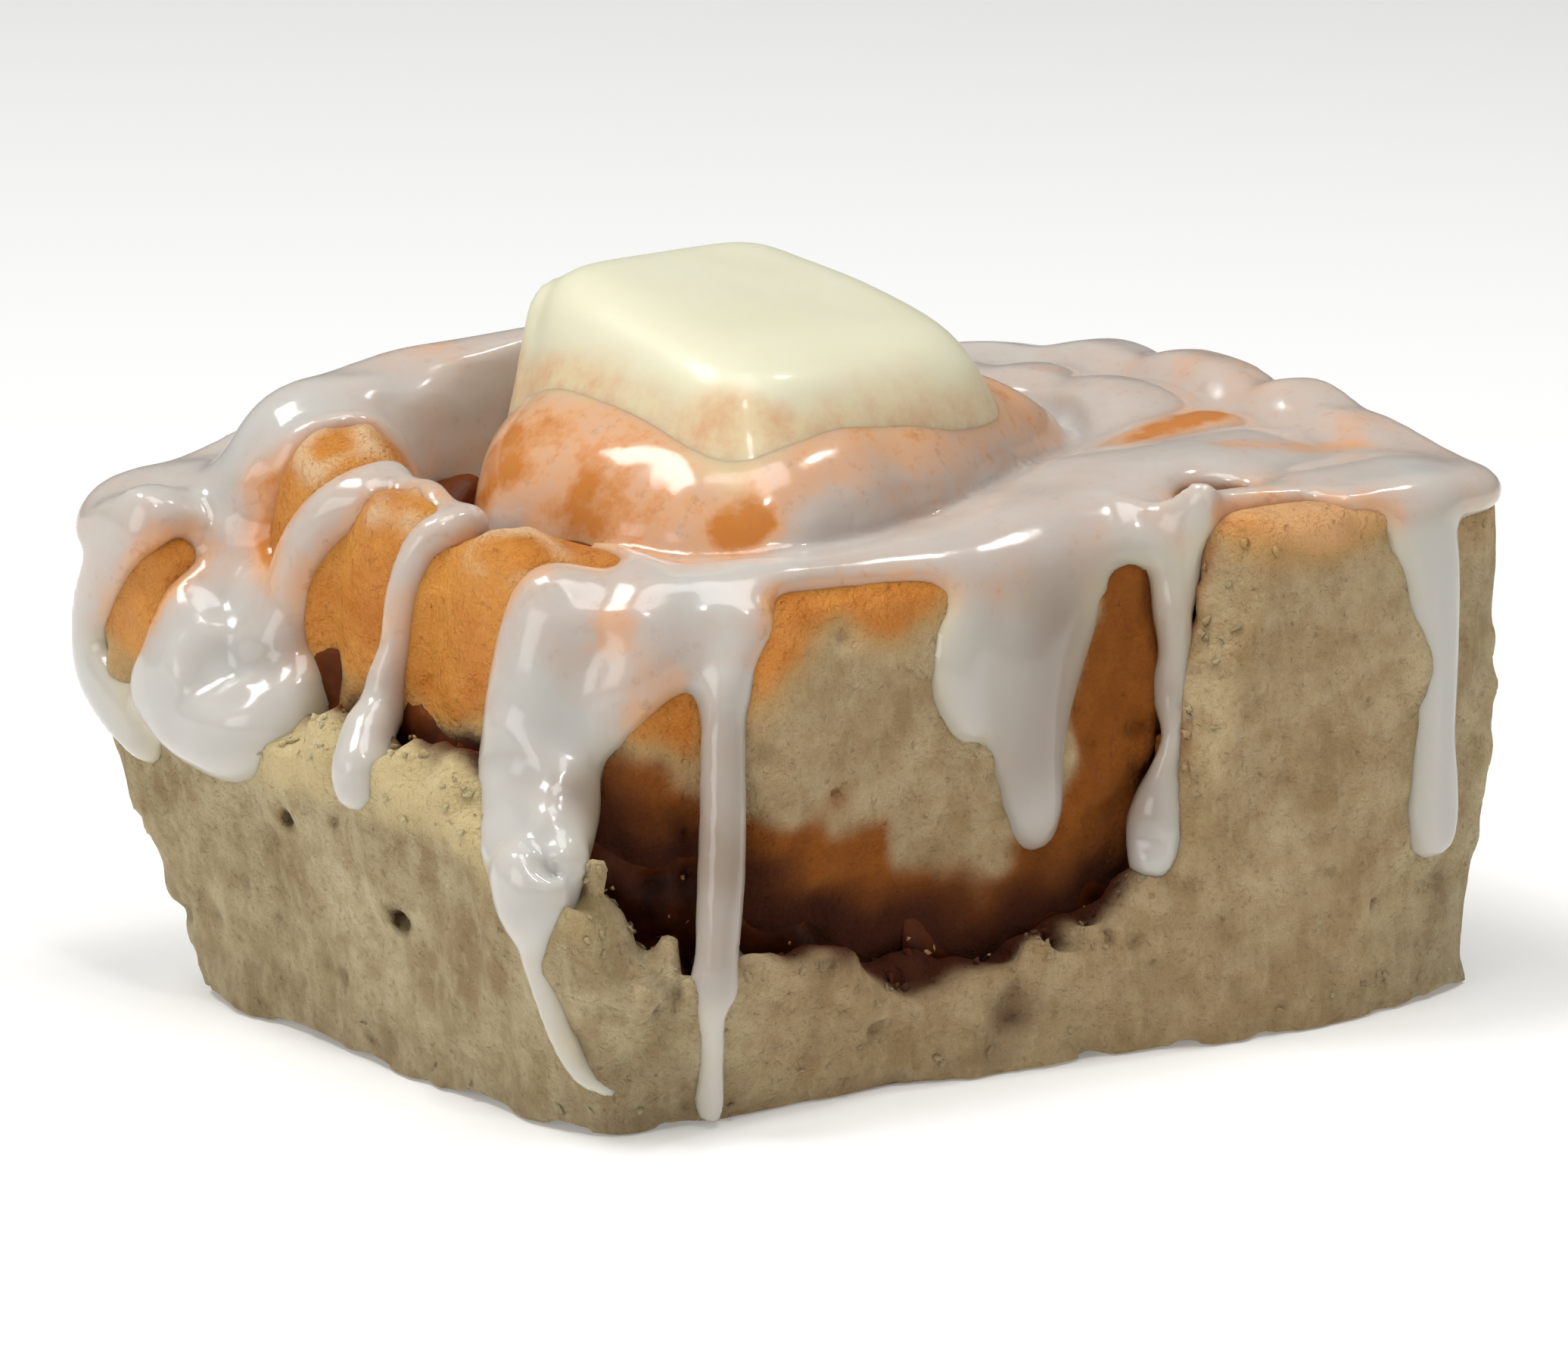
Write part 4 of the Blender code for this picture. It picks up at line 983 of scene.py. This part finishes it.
finish_surface(
    tree, Base_Color=iced, Roughness=0.17, Normal=ripple_height, IOR=1.45,
    Subsurface_Weight=0.65, Subsurface_Radius=(1.0, 0.8, 0.65), Subsurface_Scale=0.0024, Coat_Weight=0.3,
    Coat_Roughness=0.06,
)

under = np.where(outer_smooth < inner_smooth, outer_crust, crust)
under = np.maximum(under, on_dome * ease(Z, 37.0, 38.0))
BUTTER_MIDDLE = (-4.3, 4.8)
BUTTER_HALF_SIDE = 12.9
BUTTER_SHARPNESS = 5.5
BUTTER_TURN = radians(5.8)
from_middle = (flat_x - BUTTER_MIDDLE[0], flat_y - BUTTER_MIDDLE[1])
along_pat = np.abs(from_middle[0] * cos(BUTTER_TURN) + from_middle[1] * sin(BUTTER_TURN))
across_pat = np.abs(from_middle[1] * cos(BUTTER_TURN) - from_middle[0] * sin(BUTTER_TURN))
beside_pat = (along_pat**BUTTER_SHARPNESS + across_pat**BUTTER_SHARPNESS) ** (1.0 / BUTTER_SHARPNESS)
beside_pat = (beside_pat - BUTTER_HALF_SIDE)[UP]
buttered = 0.85 * (1.0 - ease(beside_pat + 0.8 * middling, 0.5, 3.6)) * on_dome
goo_under_and_drip_shade = 0.75 * stain * (outer_smooth > inner_smooth) * (1.0 - ease(Z, 30.0, 38.0))
goo_under_and_drip_shade = np.maximum(goo_under_and_drip_shade, 0.75 * spots_seen([(1345, 790), (1318, 960)], 4.2, ICING_OVER_CRUST))
# painted shade: the free-hanging straight drip's lower part gets the same brown tint, with no goo under it
goo_under_and_drip_shade = np.maximum(goo_under_and_drip_shade, 0.6 * ease(straight_drip, 1.2, 0.4) * (1.0 - ease(Z, 28.0, 33.0)))
goo_under_and_drip_shade = soften(goo_under_and_drip_shade, 6)
icing = mould("melted_icing", icing_body, {
    "milk": milk, "under": under, "buttered": buttered, "goo": goo_under_and_drip_shade,
}, icing_material, 300)
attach(icing, "root")
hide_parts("icing")


# The butter
# A square pat that was laid on the warm dome. It has slumped, its edges are rounded, and its foot
# melts into the glaze.

BUTTER_SLOPE = (-0.02, 0.237)
BUTTER_TOP = 54.0
BUTTER_MELT = 4.5
pat_top = BUTTER_TOP + BUTTER_SLOPE[0] * from_middle[0] + BUTTER_SLOPE[1] * from_middle[1]
pat = soft_max(beside_pat - 0.15 * broad, Z - pat_top[UP] + 0.12 * broad, 5.0)
melt_thickness = 1.7 * (1.0 - ease(beside_pat + 0.8 * broad, -1.5, 3.4)) - 0.3
off_dome = 1.0 - ease(flat_depth - dome_line, -3.0, 1.5)[UP]
butter_body = soft_min(pat + 0.3, carrier - melt_thickness + 6.0 * off_dome, 6.0)
butter_body = soft_max(butter_body, -0.8 - carrier, 0.5)
butter_body = soft_max(butter_body, beside_pat - BUTTER_MELT, 1.0)
butter_body = soften(np.maximum(butter_body, 43.0 - Z), 2)

# Butter: smooth fat that light passes well into, shiny where it melts.
butter_material, tree = new_material("melting butter")
place = add(tree, "ShaderNodeTexCoord").outputs["Object"]
foot_at = add(tree, "ShaderNodeAttribute", {"attribute_name": "foot"}).outputs["Fac"]
cream, speckle, dents = [
    add(tree, "ShaderNodeTexNoise", Vector=place, Scale=1.0 / METRES / size, Detail=detail, Roughness=rough)
    for size, detail, rough in ((9.0, 2.0, 0.5), (2.0, 5.0, 0.65), (6.0, 2.0, 0.5))
]
melting = painted_over(tree, "#E6CFA4", (speckle, 0.4, 0.68, 1.0, "#DDB188"))
buttery = painted_over(
    tree, "#ECEAD2", (cream, 0.0, 1.0, 1.0, "#E6E2C2"), (foot_at, 0.0, 1.0, 1.0, melting),
)
dent_height = add(tree, "ShaderNodeBump", Height=dents, Strength=0.15, Distance=0.001)
finish_surface(
    tree, Base_Color=buttery, Roughness=0.38, Normal=dent_height, IOR=1.46,
    Subsurface_Weight=0.6, Subsurface_Radius=(1.0, 0.85, 0.5), Subsurface_Scale=0.003, Coat_Weight=0.2,
    Coat_Roughness=0.1,
)

foot = np.maximum(ease(beside_pat + 0.6 * middling, 0.6, 3.8), 1.0 - ease(carrier + 0.7 * middling, 0.8, 3.6))
butter = mould("butter_pat", butter_body, {"foot": foot}, butter_material, 300)
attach(butter, "root")
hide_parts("butter")


# The studio: a white floor that glows a little, soft light from all round with more from the upper left,
# and a few small lamps whose reflections glint in the icing
FLOOR_HALF = 3.0
floor_mesh = bpy.data.meshes.new("floor")
floor_corners = [(FLOOR_HALF * x, FLOOR_HALF * y, 0.0) for x, y in ((-1, -1), (1, -1), (1, 1), (-1, 1))]
floor_mesh.from_pydata(floor_corners, [], [(0, 1, 2, 3)])
floor = bpy.data.objects.new("floor", floor_mesh)
bpy.context.scene.collection.objects.link(floor)
floor_material, tree = new_material("white studio floor")
finish_surface(
    tree, Base_Color="#F2F2F0", Roughness=0.9, Emission_Color="#FFFFFF",
    Emission_Strength=0.2,
)
floor_mesh.materials.append(floor_material)

world = bpy.data.worlds.new("soft white room")
bpy.context.scene.world = world
world.use_nodes = True
light_all_round = world.node_tree.nodes["Background"].inputs
light_all_round["Color"].default_value = linear("#FFFFFF")
light_all_round["Strength"].default_value = 0.12

# Each lamp's place round the roll, its side and its power
LAMPS = [
    ("key from the upper left", (-0.75, 0.5, 1.95), 0.75, 23.0),
    ("soft box above the front", (0.0, -0.2, 0.85), 0.4, 2.5),
    ("fill from the left", (-0.72, -0.1, 0.3), 0.35, 1.0),
    ("glint one", (-0.1, -0.3, 0.5), 0.04, 0.3),
    ("glint two", (0.25, -0.1, 0.5), 0.05, 0.3),
]
LAMP_TARGET = Vector((0.0, 0.0, 0.03))
for name, spot, side, power in LAMPS:
    lamp = bpy.data.lights.new(name, "AREA")
    lamp.size = side
    lamp.energy = power
    holder = bpy.data.objects.new(name, lamp)
    bpy.context.scene.collection.objects.link(holder)
    holder.location = spot
    holder.rotation_euler = (LAMP_TARGET - Vector(spot)).to_track_quat("-Z", "Y").to_euler()

camera = bpy.data.cameras.new("camera")
camera.lens = LENS
camera.sensor_width = SENSOR
camera.clip_start = 0.01
viewer = bpy.data.objects.new("camera", camera)
bpy.context.scene.collection.objects.link(viewer)
viewer.location = (VIEW_TARGET + CENTRING + to_camera * VIEW_DISTANCE) * METRES
viewer.rotation_euler = (-Vector(to_camera)).to_track_quat("-Z", "Y").to_euler()
bpy.context.scene.camera = viewer
bpy.context.scene.view_settings.view_transform = "Standard"
